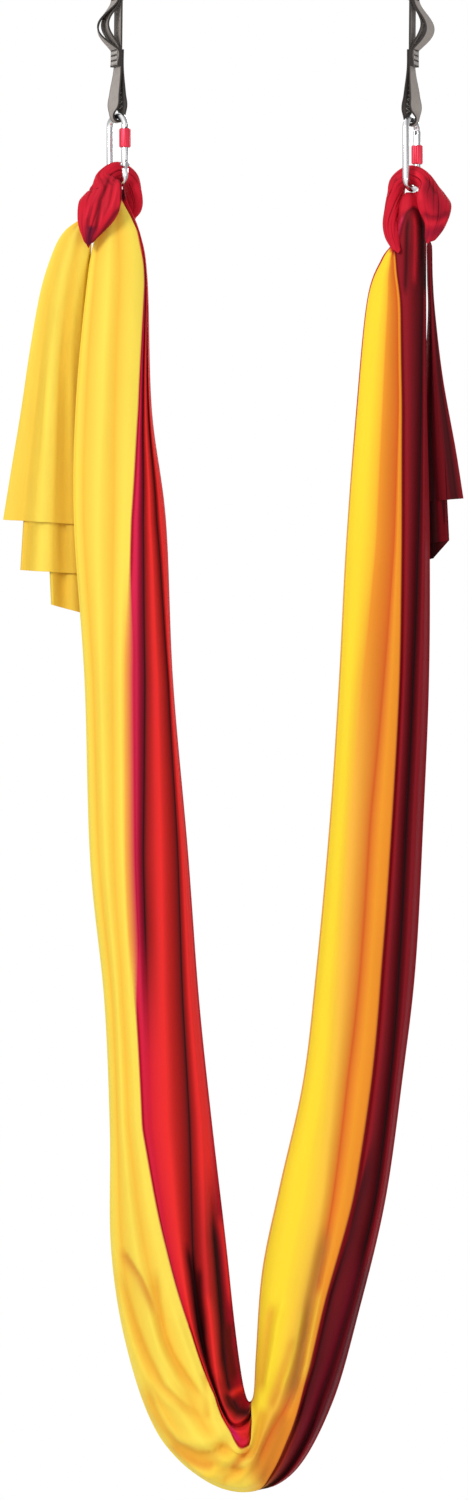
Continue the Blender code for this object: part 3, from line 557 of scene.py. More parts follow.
def smooth_copy(node, body, slot, finish, sharp):
    """A smooth-shaded piece in place of a CAD node, whose own mesh is loose flat triangles. Edges
    sharper than the given angle in degrees stay sharp."""
    shape = bmesh.new()
    shape.from_mesh(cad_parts[node].data)
    bmesh.ops.remove_doubles(shape, verts=shape.verts, dist=MERGE_GAP)
    mesh = bpy.data.meshes.new(f"{node}_smooth")
    shape.to_mesh(mesh)
    shape.free()
    mesh.shade_smooth()
    mesh.set_sharp_from_angle(angle=math.radians(sharp))
    mesh.materials.clear()
    made = placed(f"{node}_smooth", mesh)
    made.modifiers.new("Even shading", "WEIGHTED_NORMAL").keep_sharp = True
    dress(made, body, node, slot, finish)


for side in ("left", "right"):
    smooth_copy(f"{side}_carabiner_frame", f"{side}_carabiner", "alloy", alloy, 50)
    smooth_copy(f"{side}_carabiner_gate", f"{side}_gate", "alloy", alloy, 50)
    smooth_copy(f"{side}_screw_sleeve", f"{side}_sleeve", "red_alloy", red_alloy, 35)
    for node in ("hinge_rivet", "latch_pin", "gate_spring", "gate_pusher"):
        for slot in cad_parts[f"{side}_{node}"].material_slots:
            slot.material = steel.material

# The sling: the long loop of the cloth, which hangs from both knots. It is nylon tricot 2.8 m wide,
# gathered into folds from edge to edge, yellow in front and dark red behind, and the gathers turn a
# quarter round in the bowl.
LEFT_BAR = Vector((-0.2110, 0.0, -0.3481))
RIGHT_BAR = Vector((0.2066, 0.0, -0.3531))
SLING_DROP = 1.853
# Each row is a section: the outer edge's x and drop, the inner edge's x and drop, half the depth
# and the middle's y. The drops are shares of the sling's own.
LEFT_LEG = [
    (-0.006, 0.0035, 0.009, 0.0035, 0.0066, -0.0040),
    (-0.014, 0.0110, 0.013, 0.0110, 0.0104, -0.0038),
    (-0.031, 0.0380, 0.033, 0.0380, 0.0130, -0.003),
    (-0.043, 0.0730, 0.043, 0.0730, 0.0220, 0.0),
    (-0.059, 0.1650, 0.049, 0.1720, 0.0300, 0.0),
    (-0.062, 0.2570, 0.069, 0.2570, 0.0330, 0.0),
    (-0.047, 0.3790, 0.079, 0.3790, 0.0360, 0.0),
    (-0.039, 0.5170, 0.100, 0.5090, 0.0380, 0.0),
    (-0.019, 0.6240, 0.116, 0.6240, 0.0400, 0.0),
    (-0.011, 0.7240, 0.134, 0.7170, 0.0430, 0.0),
]
BOWL = [
    (-0.218, 0.8140, -0.055, 0.8070, 0.0460, 0.0),
    (-0.196, 0.8890, -0.043, 0.8680, 0.0480, 0.0),
    (-0.153, 0.9540, -0.033, 0.9090, 0.0500, 0.0),
    (-0.085, 0.9910, -0.026, 0.9270, 0.0500, 0.0),
    (-0.018, 1.0000, -0.020, 0.9310, 0.0500, 0.0),
    (0.045, 0.9830, -0.015, 0.9230, 0.0500, 0.0),
    (0.097, 0.9310, -0.012, 0.8930, 0.0480, 0.0),
    (0.135, 0.8600, -0.003, 0.8300, 0.0460, 0.0),
]
RIGHT_LEG = [
    (-0.037, 0.7750, -0.187, 0.7640, 0.0430, 0.0),
    (-0.012, 0.6790, -0.154, 0.6840, 0.0400, 0.0),
    (0.006, 0.5950, -0.135, 0.5970, 0.0380, 0.0),
    (0.017, 0.4840, -0.116, 0.4840, 0.0370, 0.0),
    (0.025, 0.3770, -0.103, 0.3770, 0.0360, 0.0),
    (0.026, 0.2690, -0.093, 0.2730, 0.0330, 0.0),
    (0.022, 0.1660, -0.078, 0.1660, 0.0300, 0.0),
    (0.021, 0.0850, -0.063, 0.0850, 0.0220, 0.0),
    (0.021, 0.0550, -0.043, 0.0540, 0.0150, -0.002),
    (0.021, 0.0370, -0.022, 0.0370, 0.0130, -0.0035),
    (0.019, 0.0115, -0.017, 0.0115, 0.0112, -0.0035),
    (0.007, 0.0030, -0.008, 0.0030, 0.0060, -0.002),
]


def hung(rows, start):
    """Rows placed from a point, with heights in place of drops."""
    return [
        (
            start.x + outer, start.z - outer_drop * SLING_DROP,
            start.x + inner, start.z - inner_drop * SLING_DROP, depth, start.y + y,
        )
        for outer, outer_drop, inner, inner_drop, depth, y in rows
    ]


def through(rows, places):
    """Rows read from a smooth curve through them, at fractional row numbers."""
    rows = np.array(rows, float)
    places = np.clip(places, 0, len(rows) - 1)
    start = np.minimum(places.astype(int), len(rows) - 2)
    t = (places - start)[:, None]
    a, b, c, d = (rows[np.clip(start + k, 0, len(rows) - 1)] for k in (-1, 0, 1, 2))
    bend = (2 * a - 5 * b + 4 * c - d) * t**2 + (3 * b - a - 3 * c + d) * t**3
    return 0.5 * (2 * b + (c - a) * t + bend)


def along_evenly(rows, middles, count, closer=None):
    """Fractional row numbers along the line through the rows' middles, closer where wanted."""
    fine = np.linspace(0, len(rows) - 1, 4000)
    line = middles(through(rows, fine))
    steps = np.linalg.norm(np.diff(line, axis=0), axis=1)
    dense = steps * (closer(fine[1:]) if closer else 1.0)
    run = np.concatenate([[0], np.cumsum(dense)])
    return np.interp(np.linspace(0, run[-1], count), run, fine), steps.sum()


STATIONS = 505
LIP = 0.0095
FILL_LAYERS = 17
FILL_DEPTH = 0.30
FILL_FROM, FILL_TO = 0.05, 0.86
STAGGER = 0.03
BACK_POINTS = 27

sling_rows = (
    hung(LEFT_LEG, LEFT_BAR) + hung(BOWL, (LEFT_BAR + RIGHT_BAR) / 2) + hung(RIGHT_LEG, RIGHT_BAR)
)
LAST_ROW = len(sling_rows) - 1
BOWL_ROW = 14.0
TURN_ROW = 14.05


def closeness(row):
    """How close the stations lie: closer in the bowl and at both necks, closest at the turn."""
    bowl = 0.9 * np.exp(-(((row - BOWL_ROW) / 3.4) ** 4))
    turn = 1.6 * np.exp(-(((row - TURN_ROW) / 0.4) ** 2))
    left_neck = 2.4 * np.exp(-((row / 2.2) ** 4))
    right_neck = 2.4 * np.exp(-(((LAST_ROW - row) / 2.8) ** 4))
    return 1.0 + bowl + turn + left_neck + right_neck


def sling_middles(rows):
    return np.stack([(rows[:, 0] + rows[:, 2]) / 2, (rows[:, 1] + rows[:, 3]) / 2], axis=1)


places, sling_length = along_evenly(sling_rows, sling_middles, STATIONS, closeness)
edges = through(sling_rows, places)


def track(shares, soft=9):
    """A fold's place at every station, as a share of the width from the loop's outer edge, read
    between numbered rows and softened a little along the cloth."""
    line = np.interp(places, list(shares), list(shares.values()))
    kernel = np.hanning(soft + 2)
    return np.convolve(np.pad(line, (soft + 1) // 2, "edge"), kernel / kernel.sum(), "valid")


def ramp(low, high):
    """Nought before the first row number and one after the second."""
    t = np.clip((places - low) / (high - low), 0, 1)
    return t * t * (3 - 2 * t)


# Where the lengthwise folds of the front lie, from the left knot round to the right one.
yellow_edge = track({
    0: .72, 1.0: .72, 1.5: .88, 2: .95, 3: .94, 4: .817, 5: .62, 6: .493, 7: .40, 8: .326, 9: .316,
    10: .475, 11: .60, 12: .68, 13: .62, 13.57: .50, 14.02: .57, 14.10: .985, 25: .985, 26: .96,
    28: .98, 29: .98,
}, 3)
orange_edge = track({
    0: .02, 13.9: .02, 14.2: .03, 14.5: .19, 15: .33, 16: .39, 17: .36, 18: .315, 19: .327, 20: .36,
    22: .344, 23: .351, 24: .371, 25: .448, 26: .70, 27: .95, 29: .95,
})
black = track({
    0: .01, 14.2: .01, 15: .10, 16: .16, 17: .10, 18: .095, 19: .125, 20: .17, 21: .186, 22: .183,
    23: .14, 24: .08, 25: .06, 26: .08, 27: .13, 28: .16, 29: .30,
})
streak = track({
    0: .08, 2: .10, 4: .14, 5: .11, 8: .09, 9: .08, 10: .10, 11: .13, 12: .18, 13: .22, 14.05: .30,
    14.5: .52, 15: .58, 16: .47, 17: .45, 18: .495, 19: .56, 20: .56, 21: .574, 22: .51, 23: .43,
    24: .41, 25: .49, 26: .75, 27: .96, 29: .965,
})
pale_ridge = track({
    0: .28, 3: .35, 4: .36, 5: .26, 6: .19, 7: .17, 8: .14, 9: .13, 10: .22, 11: .28, 12: .33, 13: .33,
    14.05: .40, 14.5: .62, 15: .68, 16: .62, 17: .56, 18: .60, 19: .70, 20: .74, 21: .78, 22: .74,
    23: .64, 24: .63, 25: .64, 26: .80, 27: .965, 29: .97,
})
shade = track({
    0: .45, 3: .54, 4: .52, 5: .44, 6: .32, 7: .25, 8: .20, 9: .19, 10: .30, 11: .39, 12: .46, 13: .44,
    14.05: .47, 14.5: .72, 15: .80, 17: .76, 18: .78, 20: .86, 22: .88, 23: .84, 24: .80, 25: .78,
    26: .86, 27: .972, 29: .974,
})
near_edge = track({
    0: .62, 1: .64, 2: .80, 3: .78, 4: .70, 5: .55, 6: .41, 7: .34, 8: .28, 9: .27, 10: .41, 11: .52,
    12: .60, 13: .54, 13.57: .45, 14.02: .52, 14.12: .80, 15: .92, 20: .945, 24: .935, 25: .90, 26: .92,
    27: .977, 29: .978,
})
groove_1 = track({
    0: .80, 1.0: .80, 2: .965, 3: .965, 4: .88, 5: .75, 6: .68, 7: .54, 8: .45, 9: .40, 10: .505,
    11: .608, 12: .686, 13: .63, 13.57: .60, 14.02: .68, 14.10: .990, 25: .99, 26: .975, 28: .984,
    29: .984,
}, 5)
red_ridge = track({
    0: .86, 1.0: .86, 2: .975, 3: .975, 4: .915, 5: .825, 6: .82, 7: .72, 8: .62, 9: .56, 10: .59,
    11: .618, 12: .69, 13: .65, 13.57: .70, 14.02: .77, 14.10: .992, 25: .992, 26: .982, 28: .986,
    29: .986,
}, 5)
groove_2 = track({
    0: .90, 1.0: .90, 2: .982, 3: .982, 4: .955, 5: .90, 6: .95, 7: .90, 8: .83, 9: .785, 10: .71,
    11: .67, 12: .70, 13: .67, 13.57: .80, 14.02: .85, 14.10: .994, 25: .994, 26: .988, 29: .989,
}, 5)
ridge_3 = track({
    0: .94, 1.0: .94, 2: .988, 3: .988, 4: .975, 5: .955, 6: .975, 7: .955, 8: .915, 9: .90, 10: .82,
    11: .79, 12: .74, 13: .72, 13.57: .88, 14.02: .91, 14.10: .996, 25: .996, 26: .993, 29: .993,
}, 5)
groove_3 = track({
    0: .97, 2: .994, 4: .988, 6: .988, 8: .96, 9: .955, 10: .90, 11: .88, 12: .84, 13: .84, 14.02: .95,
    14.10: .998, 29: .998,
}, 5)

right = ramp(13.75, 14.5)  # nought in the left leg, one in the right
left = 1 - right
# The yellow's edge stands open from the red, apart from a stretch of the left leg.
lip = 1 - 0.8 * ramp(5.2, 5.9) * (1 - ramp(7.5, 8.2))
soft = 1.25 * (1 - lip)  # where the dyes run into one another
# Where lower is nought the first groove is painted black red, and where deeper is one the third groove
# is painted black red and the third ridge darker: painted shade.
lower = ramp(7.4, 8.6)  # nought where the first groove is deep
deeper = ramp(9.2, 10.0)  # one where the third groove is dark
YELLOW = srgb(255, 226, 86)
AMBER = srgb(250, 194, 64)
GOLD = srgb(255, 222, 52)
ORANGE = srgb(240, 142, 40)
RUST = srgb(214, 96, 34)
MAGENTA = srgb(216, 34, 76)
RED = srgb(242, 46, 44)
CRIMSON = srgb(212, 28, 50)
# In the right leg and the right tail the red is painted as this darker copy of RED: painted shade.
DARK_RED = srgb(136, 18, 30)
# The next three colours are painted shade: a near black red for grooves and folds in shade, a wine for
# shaded folds and pleats, and a near black for the holes beside the bars.
SHADE_BLACK_RED = srgb(40, 5, 9)
SHADE_WINE = srgb(84, 8, 22)
HOLE_SHADOW = srgb(34, 2, 10)
one = np.ones(STATIONS)
EDGE_GOLD = srgb(240, 172, 62)
sliver = ramp(23.0, 24.2)[:, None]  # the red shows at the right leg's inner edge near its top only
right_edge_dye = EDGE_GOLD * (1 - sliver) + CRIMSON * sliver


def dyed(left_dye, right_dye, other=None, share=0.0):
    """A dye at every station, from its colour in the left leg, turning to another, to the right's."""
    base = np.outer(one, left_dye)
    if other is not None:
        base = base + np.outer(one * share, other - left_dye)
    return base * left[:, None] + right[:, None] * right_dye


HONEY = srgb(252, 186, 66)
TANGERINE = srgb(243, 152, 44)
pale_dye = (
    dyed(YELLOW, AMBER) + np.outer(right * ramp(18.6, 20.4), HONEY - AMBER)
    + np.outer(right * ramp(20.8, 22.6), TANGERINE - HONEY)
)
# Each knot of the front's outline, from the outer edge inwards: its track, how far forward it
# stands, its dye, and how many steps of the mesh lead to the next knot. The black red at the grooves
# and at the right leg's black band, and the amber in the left leg's valleys, are painted shade.
knots = [
    (0.10 * left, 0.1 * right - 0.5 * left, dyed(DARK_RED, DARK_RED), 4),
    (0.05 * left + 0.5 * black * right, 0.9 * right - 0.4 * left, dyed(ORANGE, DARK_RED), 5),
    (0.02 * left + black * right, 0.46 * right - 0.3 * left, dyed(AMBER, srgb(26, 2, 6)), 8),
    (
        0.008 * left + (0.4 * black + 0.6 * orange_edge) * right, 0.90 * right - 0.1 * left,
        dyed(YELLOW, DARK_RED), 8,
    ),
    (0.004 * left + (orange_edge - 0.016) * right, 0.74 * right, dyed(YELLOW, srgb(146, 18, 34)), 1),
    (0.002 * left + orange_edge * right, 0.96 * right + 0.1 * left, dyed(YELLOW, ORANGE), 7),
    (
        0.30 * streak * left + (0.5 * orange_edge + 0.5 * streak) * right, 0.97 * one,
        dyed(YELLOW, srgb(246, 156, 44)), 8,
    ),
    (streak, 0.87 * one, dyed(AMBER, RUST), 12),
    (pale_ridge, 1.0 * one, pale_dye, 12),
    (shade, 0.90 * one, dyed(AMBER, GOLD), 12),
    (near_edge, 0.99 * one, dyed(YELLOW, GOLD), 10),
    (
        yellow_edge - 0.03 * soft * left, 0.98 * one,
        dyed(YELLOW, GOLD, srgb(250, 176, 70), soft), 1,
    ),
    (
        yellow_edge + (0.012 + 0.05 * soft) * left + 0.002 * right,
        (0.98 - 0.20 * lip) * left + 0.2 * right, dyed(MAGENTA, right_edge_dye), 4,
    ),
    (
        0.5 * yellow_edge + 0.5 * groove_1 + 0.004, 0.88 * left + 0.1 * right,
        dyed(MAGENTA, right_edge_dye, CRIMSON, 0.6 * lower), 6,
    ),
    (
        groove_1 + 0.006, (0.62 + 0.24 * lower) * left - 0.1 * right,
        dyed(SHADE_BLACK_RED, right_edge_dye, CRIMSON, lower), 8,
    ),
    (red_ridge + 0.008, 0.95 * left - 0.3 * right, dyed(RED, right_edge_dye), 10),
    (groove_2, 0.50 * left - 0.4 * right, dyed(SHADE_BLACK_RED, right_edge_dye), 8),
    (
        ridge_3, 0.86 * left - 0.5 * right,
        dyed(RED, right_edge_dye, srgb(170, 30, 34), 0.5 * deeper), 6,
    ),
    (
        groove_3, (0.62 - 0.12 * deeper) * left - 0.5 * right,
        dyed(RED, right_edge_dye, SHADE_BLACK_RED, deeper), 5,
    ),
    (1.0 - 0.06 * right, -0.5 * right, dyed(srgb(180, 16, 40), right_edge_dye), 0),
]


# After this knot the right leg's orange ends and its yellow begins, with a sharper edge higher up.
SHARP_EDGE = 8


def by_station(shares, levels, dyes_and_shading):
    """Lists of columns as arrays with one row for each station."""
    return np.array(shares).T, np.array(levels).T, np.array(dyes_and_shading).transpose(1, 0, 2)


def rounded(knots):
    """Shares, levels and dyes between the knots, with soft tops and narrow grooves."""
    shares, levels, dyes_and_shading = [], [], []
    for k, ((s0, l0, d0, steps), (s1, l1, d1, _)) in enumerate(zip(knots, knots[1:])):
        last = k == len(knots) - 2
        rising = (d1.sum(axis=1) > d0.sum(axis=1))[:, None]
        for step in range(steps + last):
            t = step / steps
            ease = 0.5 - 0.5 * math.cos(math.pi * t)
            way = (0.9 - 0.45 * ramp(21.4, 23.0) if k == SHARP_EDGE else 0.75 * one)[:, None]
            turn = np.where(rising, t**way, 1 - (1 - t) ** way)
            shares.append(s0 + (s1 - s0) * t)
            levels.append(l0 + (l1 - l0) * ease)
            dyes_and_shading.append(d0 + (d1 - d0) * turn)
    return by_station(shares, levels, dyes_and_shading)


front_columns = rounded(knots)
FRONT = front_columns[0].shape[1]
RED_KNOT = 12
RED_FROM = sum(knot[3] for knot in knots[:RED_KNOT])  # the first column that is red in the left leg


def wander(seed, scale, size):
    """A slow, even noise along the cloth, from -size to size."""
    spots = [Vector((seed * 7.31, j * scale / STATIONS, seed * 1.7)) for j in range(STATIONS)]
    return np.array([size * noise.noise(spot) for spot in spots])


outer_dye = dyed(YELLOW, DARK_RED)
inner_dye = dyed(RED, YELLOW)


def filling():
    """The rest of the width, gathered behind the front in layers that zigzag from edge to edge."""
    shares, levels, dyes_and_shading = [], [], []
    for layer in range(FILL_LAYERS):
        level = FILL_DEPTH * (1 - 2 * layer / (FILL_LAYERS - 1))
        low = FILL_FROM + STAGGER * (layer % 3) + wander(layer + 1, 14, 0.04)
        high = FILL_TO - STAGGER * ((layer + 1) % 3) - wander(layer + 40, 14, 0.03)
        for t in (0.0, 1.0) if layer % 2 else (1.0, 0.0):
            shares.append(low + (high - low) * t)
            levels.append(level * one if layer or t < 1 else 0 * one)
            dyes_and_shading.append(outer_dye * (1 - t) + inner_dye * t)
    return by_station(shares, levels, dyes_and_shading)


def backing():
    """The back of the gathers: even folds from edge to edge, which drift along the cloth."""
    t = np.linspace(0, 1, BACK_POINTS)
    shares = np.tile(t, (STATIONS, 1))
    drift = wander(90, 9, 0.9)[:, None]
    broad = np.cos(FULL_TURN * (4.6 * shares + drift))
    narrow = np.cos(FULL_TURN * (9.7 * shares - 1.7 * drift))
    middle_dye = np.tile(RED * 0.55 + DARK_RED * 0.45, (STATIONS, 1))
    dyes_and_shading = (
        outer_dye[:, None, :] * np.clip(1 - 3 * t, 0, 1)[None, :, None]
        + inner_dye[:, None, :] * np.clip(3 * t - 2, 0, 1)[None, :, None]
        + middle_dye[:, None, :] * np.clip(1.5 - np.abs(3 * t - 1.5), 0, 1)[None, :, None]
    )
    return shares, -(0.86 + 0.12 * broad + 0.05 * narrow), dyes_and_shading


shares, levels, dyes_and_shading = (
    np.concatenate(columns, axis=1) for columns in zip(front_columns, filling(), backing())
)
inside = np.clip(shares, 0.004, 0.996)
crown = (2 * np.sqrt(inside * (1 - inside))) ** 0.8
depths = edges[:, 4:5] * crown * levels
sling_points = np.stack(
    [
        edges[:, 0:1] + (edges[:, 2:3] - edges[:, 0:1]) * shares,
        edges[:, 5:6] - depths,
        edges[:, 1:2] + (edges[:, 3:4] - edges[:, 1:2]) * shares,
    ],
    axis=2,
)
# At both ends the front of the gathers laps up beside the basket bar, which runs slantwise.
BAR_CLEAR = 0.0068
LAP_EDGE = 0.003
for strap, bar, near_top in zip(STRAPS, (LEFT_BAR, RIGHT_BAR), (1 - places, places - LAST_ROW + 1)):
    sine, cosine = math.sin(strap["turn"]), math.cos(strap["turn"])
    beside = np.abs(sine * (sling_points[..., 0] - bar.x) - cosine * sling_points[..., 1])
    lap = np.clip(near_top, 0, 1)[:, None] ** 2 * np.clip((levels - 0.3) / 0.5, 0, 1)
    sling_points[..., 2] += LIP * lap * np.clip((beside - BAR_CLEAR) / LAP_EDGE, 0, 1)


FOLD_FADE = 0.18
ACROSS_AND_DOWN = (1000, -1000)  # fold lines are millimetres across and down from between the hooks


def nearness(points, line, wide):
    """How near each point lies to a line, from 1 on it to 0, with its own half width on the line's
    left and on its right, fading towards both ends."""
    x, z = points[..., 0], points[..., 2]
    line = np.array(line) / ACROSS_AND_DOWN
    run = run_along(line)
    best = np.full(x.shape, np.inf)
    found = np.zeros(x.shape)
    for (ax, az), (bx, bz), done in zip(line, line[1:], run):
        dx, dz = bx - ax, bz - az
        long = dx**2 + dz**2
        t = np.clip(((x - ax) * dx + (z - az) * dz) / long, 0, 1)
        far = np.hypot(x - ax - t * dx, z - az - t * dz)
        on_left = dx * (z - az) - dz * (x - ax) > 0
        score = np.exp(-((far / np.where(on_left, wide[0], wide[1]) * 1000) ** 2))
        passed = done + t * math.sqrt(long)
        end = np.clip(np.minimum(passed, run[-1] - passed) / (FOLD_FADE * run[-1]), 0, 1)
        found = np.where(far < best, score * end * end * (3 - 2 * end), found)
        best = np.minimum(best, far)
    return found


def creased(points, tint, folds, columns):
    """Folds pressed into some columns of the cloth, with painted shade laid along their valleys and
    painted highlights along their ridges.
    """
    part = points[:, columns]
    for proud, wide, colour, share, line in folds:
        near = nearness(part, line, wide)
        points[:, columns, 1] -= near * proud / 1000
        shading_mask = (near * share)[..., None]
        tint[:, columns] = tint[:, columns] * (1 - shading_mask) + colour * shading_mask


# Folds of the bowl and legs that cross the gathers: how proud of the cloth, the half widths on both
# sides, the colour laid along it and its share, painted shade on the valleys and painted highlight on
# the ridges, and the line, with all lengths in millimetres.
# The next three colours are painted shade, laid along the valleys of the folds.
DUSK_SHADE = srgb(238, 170, 52)
TAN_SHADE = srgb(214, 126, 44)
SMOKE_SHADE = srgb(176, 128, 58)
YELLOW_FOLDS = (
    (-5, (4, 10), DUSK_SHADE, 0.75, (
        (-210, 1872), (-202, 1910), (-187, 1957), (-168, 2005), (-146, 2048), (-116, 2076),
        (-81, 2100))),
    (-4, (3, 9), TAN_SHADE, 0.7, ((-206, 1852), (-195, 1869), (-178, 1894), (-160, 1934), (-156, 1954))),
    (4, (10, 5), YELLOW, 0.5, (
        (-219, 1877), (-207, 1931), (-192, 1988), (-170, 2036), (-142, 2070), (-108, 2094))),
    (-5, (4, 9), DUSK_SHADE, 0.7, (
        (-156, 1877), (-153, 1931), (-145, 1977), (-133, 2005), (-114, 2033), (-95, 2059),
        (-85, 2079))),
    (4, (9, 5), YELLOW, 0.5, (
        (-168, 1917), (-163, 1957), (-151, 1997), (-128, 2039), (-102, 2073))),
    (-3, (4, 6), DUSK_SHADE, 0.6, ((-85, 2025), (-84, 2059), (-82, 2102))),
    (4, (7, 7), YELLOW, 0.6, ((-133, 1931), (-114, 1988), (-97, 2031), (-77, 2073), (-62, 2102))),
    (6, (11, 6), YELLOW, 0.6, (
        (-165, 2073), (-146, 2107), (-125, 2124), (-97, 2131), (-71, 2124), (-51, 2104))),
    (-7, (4, 12), DUSK_SHADE, 0.75, (
        (-175, 2039), (-156, 2085), (-142, 2110), (-125, 2131), (-99, 2146), (-74, 2141),
        (-57, 2130), (-43, 2116))),
    (-3, (8, 9), srgb(232, 146, 44), 0.75, (
        (-142, 2130), (-122, 2147), (-97, 2160), (-74, 2164), (-57, 2156))),
    (5, (8, 5), YELLOW, 0.7, ((-165, 2107), (-139, 2143), (-114, 2167), (-85, 2180), (-62, 2174))),
    (6, (5, 8), srgb(255, 214, 70), 0.9, (
        (-94, 2184), (-77, 2170), (-60, 2154), (-43, 2143), (-31, 2136))),
    (-4, (6, 6), srgb(226, 128, 40), 0.8, ((-51, 2170), (-40, 2156), (-28, 2141), (-23, 2130))),
    (-4, (4, 7), DUSK_SHADE, 0.7, ((-68, 2190), (-54, 2177), (-43, 2168), (-28, 2167))),
    (4, (5, 5), srgb(255, 206, 64), 0.6, ((-48, 2190), (-34, 2175), (-20, 2161), (-14, 2144))),
    (-5, (5, 9), DUSK_SHADE, 0.7, ((11, 1926), (4, 1962), (-1, 1999), (-6, 2039), (-10, 2068))),
    (5, (8, 5), GOLD, 0.6, ((26, 1917), (16, 1960), (10, 1997), (3, 2033), (-3, 2062))),
    (-5, (5, 8), TAN_SHADE, 0.55, ((43, 1974), (34, 2008), (21, 2039), (10, 2068), (3, 2090))),
    (4, (5, 5), GOLD, 0.5, ((54, 1931), (44, 1982), (31, 2025), (17, 2062))),
    (-4, (8, 11), SMOKE_SHADE, 0.62, (
        (91, 1812), (80, 1860), (68, 1908), (58, 1948), (51, 1988), (45, 2025), (37, 2062),
        (27, 2096))),
    (-1, (7, 5), SMOKE_SHADE, 0.45, ((65, 1917), (57, 1957), (51, 1994), (44, 2031), (34, 2065))),
    (2, (4, 5), srgb(248, 196, 64), 0.7, (
        (78, 1903), (70, 1943), (62, 1985), (57, 2019), (48, 2050))),
    (-1, (11, 2), srgb(54, 8, 16), 0.9, (
        (156, 1676), (136, 1761), (118, 1837), (91, 1920), (70, 2015), (51, 2077), (33, 2129),
        (16, 2167))),
    (-1, (7, 7), srgb(62, 8, 20), 0.7, (
        (151, 1846), (131, 1931), (108, 2011), (80, 2090), (45, 2161))),
    (2, (7, 6), srgb(128, 16, 40), 0.6, (
        (136, 1846), (114, 1931), (88, 2016), (62, 2087), (34, 2153))),
    (-3, (12, 12), srgb(206, 122, 40), 0.75, (
        (28, 2079), (20, 2113), (9, 2144), (-3, 2173), (-11, 2195))),
    (0, (10, 10), srgb(222, 138, 44), 0.6, ((-3, 2073), (-9, 2107), (-14, 2144), (-17, 2181))),
)
RED_FOLDS = (
    (-5, (4, 5), SHADE_BLACK_RED, 0.9, (
        (-114, 1840), (-105, 1889), (-98, 1940), (-89, 1988), (-82, 2028))),
    (-4, (4, 6), SHADE_BLACK_RED, 0.8, ((-95, 1877), (-94, 1917), (-89, 1957), (-87, 1994))),
    (5, (4, 5), srgb(240, 46, 44), 0.9, (
        (-84, 1911), (-78, 1948), (-74, 1988), (-71, 2022), (-65, 2050))),
    (-5, (4, 4), SHADE_BLACK_RED, 0.9, (
        (-77, 1806), (-70, 1860), (-65, 1914), (-62, 1960), (-61, 2005), (-60, 2045))),
    (3, (4, 4), srgb(226, 40, 40), 0.9, ((-67, 1803), (-58, 1860), (-53, 1908), (-48, 1948))),
    (-3, (7, 7), srgb(96, 20, 18), 0.9, ((-53, 1957), (-53, 1988), (-48, 2019), (-43, 2050))),
    (5, (5, 6), srgb(222, 38, 34), 1.0, ((-57, 2068), (-43, 2059), (-28, 2055), (-20, 2062))),
    (-5, (5, 6), srgb(70, 14, 14), 0.95, (
        (-57, 2056), (-51, 2076), (-40, 2087), (-26, 2090), (-17, 2085))),
    (4, (5, 6), srgb(226, 34, 40), 0.95, ((-57, 2087), (-45, 2102), (-33, 2109), (-20, 2104))),
    (3, (3, 4), srgb(212, 22, 92), 1.0, ((-53, 2104), (-44, 2116), (-37, 2127))),
)
creased(sling_points, dyes_and_shading, YELLOW_FOLDS, slice(0, RED_FROM + 1))
creased(sling_points, dyes_and_shading, RED_FOLDS, slice(RED_FROM + 1, FRONT))
# No fold is pressed back into the filling.
FILL_GAP = 0.05
ahead_of_fill = edges[:, 5:6] - edges[:, 4:5] * crown * (FILL_DEPTH + FILL_GAP)
front = (np.arange(levels.shape[1]) < FRONT)[None, :]
held_forward = (levels > FILL_DEPTH + 0.04) & front
sling_points[..., 1] = np.where(
    held_forward, np.minimum(sling_points[..., 1], ahead_of_fill), sling_points[..., 1]
)

# The cloth is crimson where it leaves the knots: above an arch of such points in front of each leg.
ARCHES = (
    (
        (-278, 386), (-213, 386), (-209, 381), (-204, 373), (-199, 381), (-192, 392), (-185, 406),
        (-175, 457),
    ),
    (
        (156, 457), (169, 435), (178, 447), (183, 449), (187, 426), (193, 403), (200, 388),
        (209, 381), (217, 386), (224, 406), (233, 457),
    ),
)
ARCH_EDGE = 0.005
for arch, near_top in zip(ARCHES, (places < 3.2, places > 25.6)):
    arch_x, arch_z = (np.array(arch) / ACROSS_AND_DOWN).T
    above = sling_points[..., 2] - np.interp(sling_points[..., 0], arch_x, arch_z)
    over_arch = np.clip(above / ARCH_EDGE, 0, 1)
    over_arch = (np.where(front, over_arch, over_arch > 0.5) * near_top[:, None])[..., None]
    dyes_and_shading = dyes_and_shading * (1 - over_arch) + CRIMSON * over_arch
# The neck folds' colours are painted shade in their valleys, painted highlights on their ridges, and
# painted shadow in the holes beside both bars.
NECK_FOLDS = (
    (-1.0, (2, 2), SHADE_WINE, 0.8, (
        (182, 452), (187, 426), (193, 403), (200, 388), (209, 381), (217, 386), (224, 406),
        (227, 435))),
    (2.0, (3, 3), srgb(196, 28, 44), 0.9, ((209, 381), (212, 406), (212, 440), (210, 497))),
    (-2.0, (3, 3), SHADE_BLACK_RED, 0.85, ((203, 386), (200, 415), (199, 457), (197, 511))),
    (-1.5, (3, 4), SHADE_BLACK_RED, 0.9, ((219, 383), (223, 409), (224, 443), (226, 511))),
    (-1.5, (3, 3), srgb(120, 12, 34), 0.8, ((197, 383), (192, 400), (186, 423), (182, 452))),
    (0, (2, 2), srgb(236, 52, 92), 0.8, ((196, 389), (190, 403), (186, 420), (182, 443))),
    (0, (6, 6), HOLE_SHADOW, 0.95, ((176, 346), (196, 352), (206, 354), (224, 349))),
    (0, (4, 4), HOLE_SHADOW, 0.95, ((-203, 329), (-202, 346), (-202, 361), (-203, 375))),
)
creased(sling_points, dyes_and_shading, NECK_FOLDS, slice(0, FRONT))

sling = laid_cloth("sling_cloth", sling_points, dyes_and_shading)

tricot = Finish("nylon tricot", Sheen_Weight=0.02, Specular_IOR_Level=0.08)
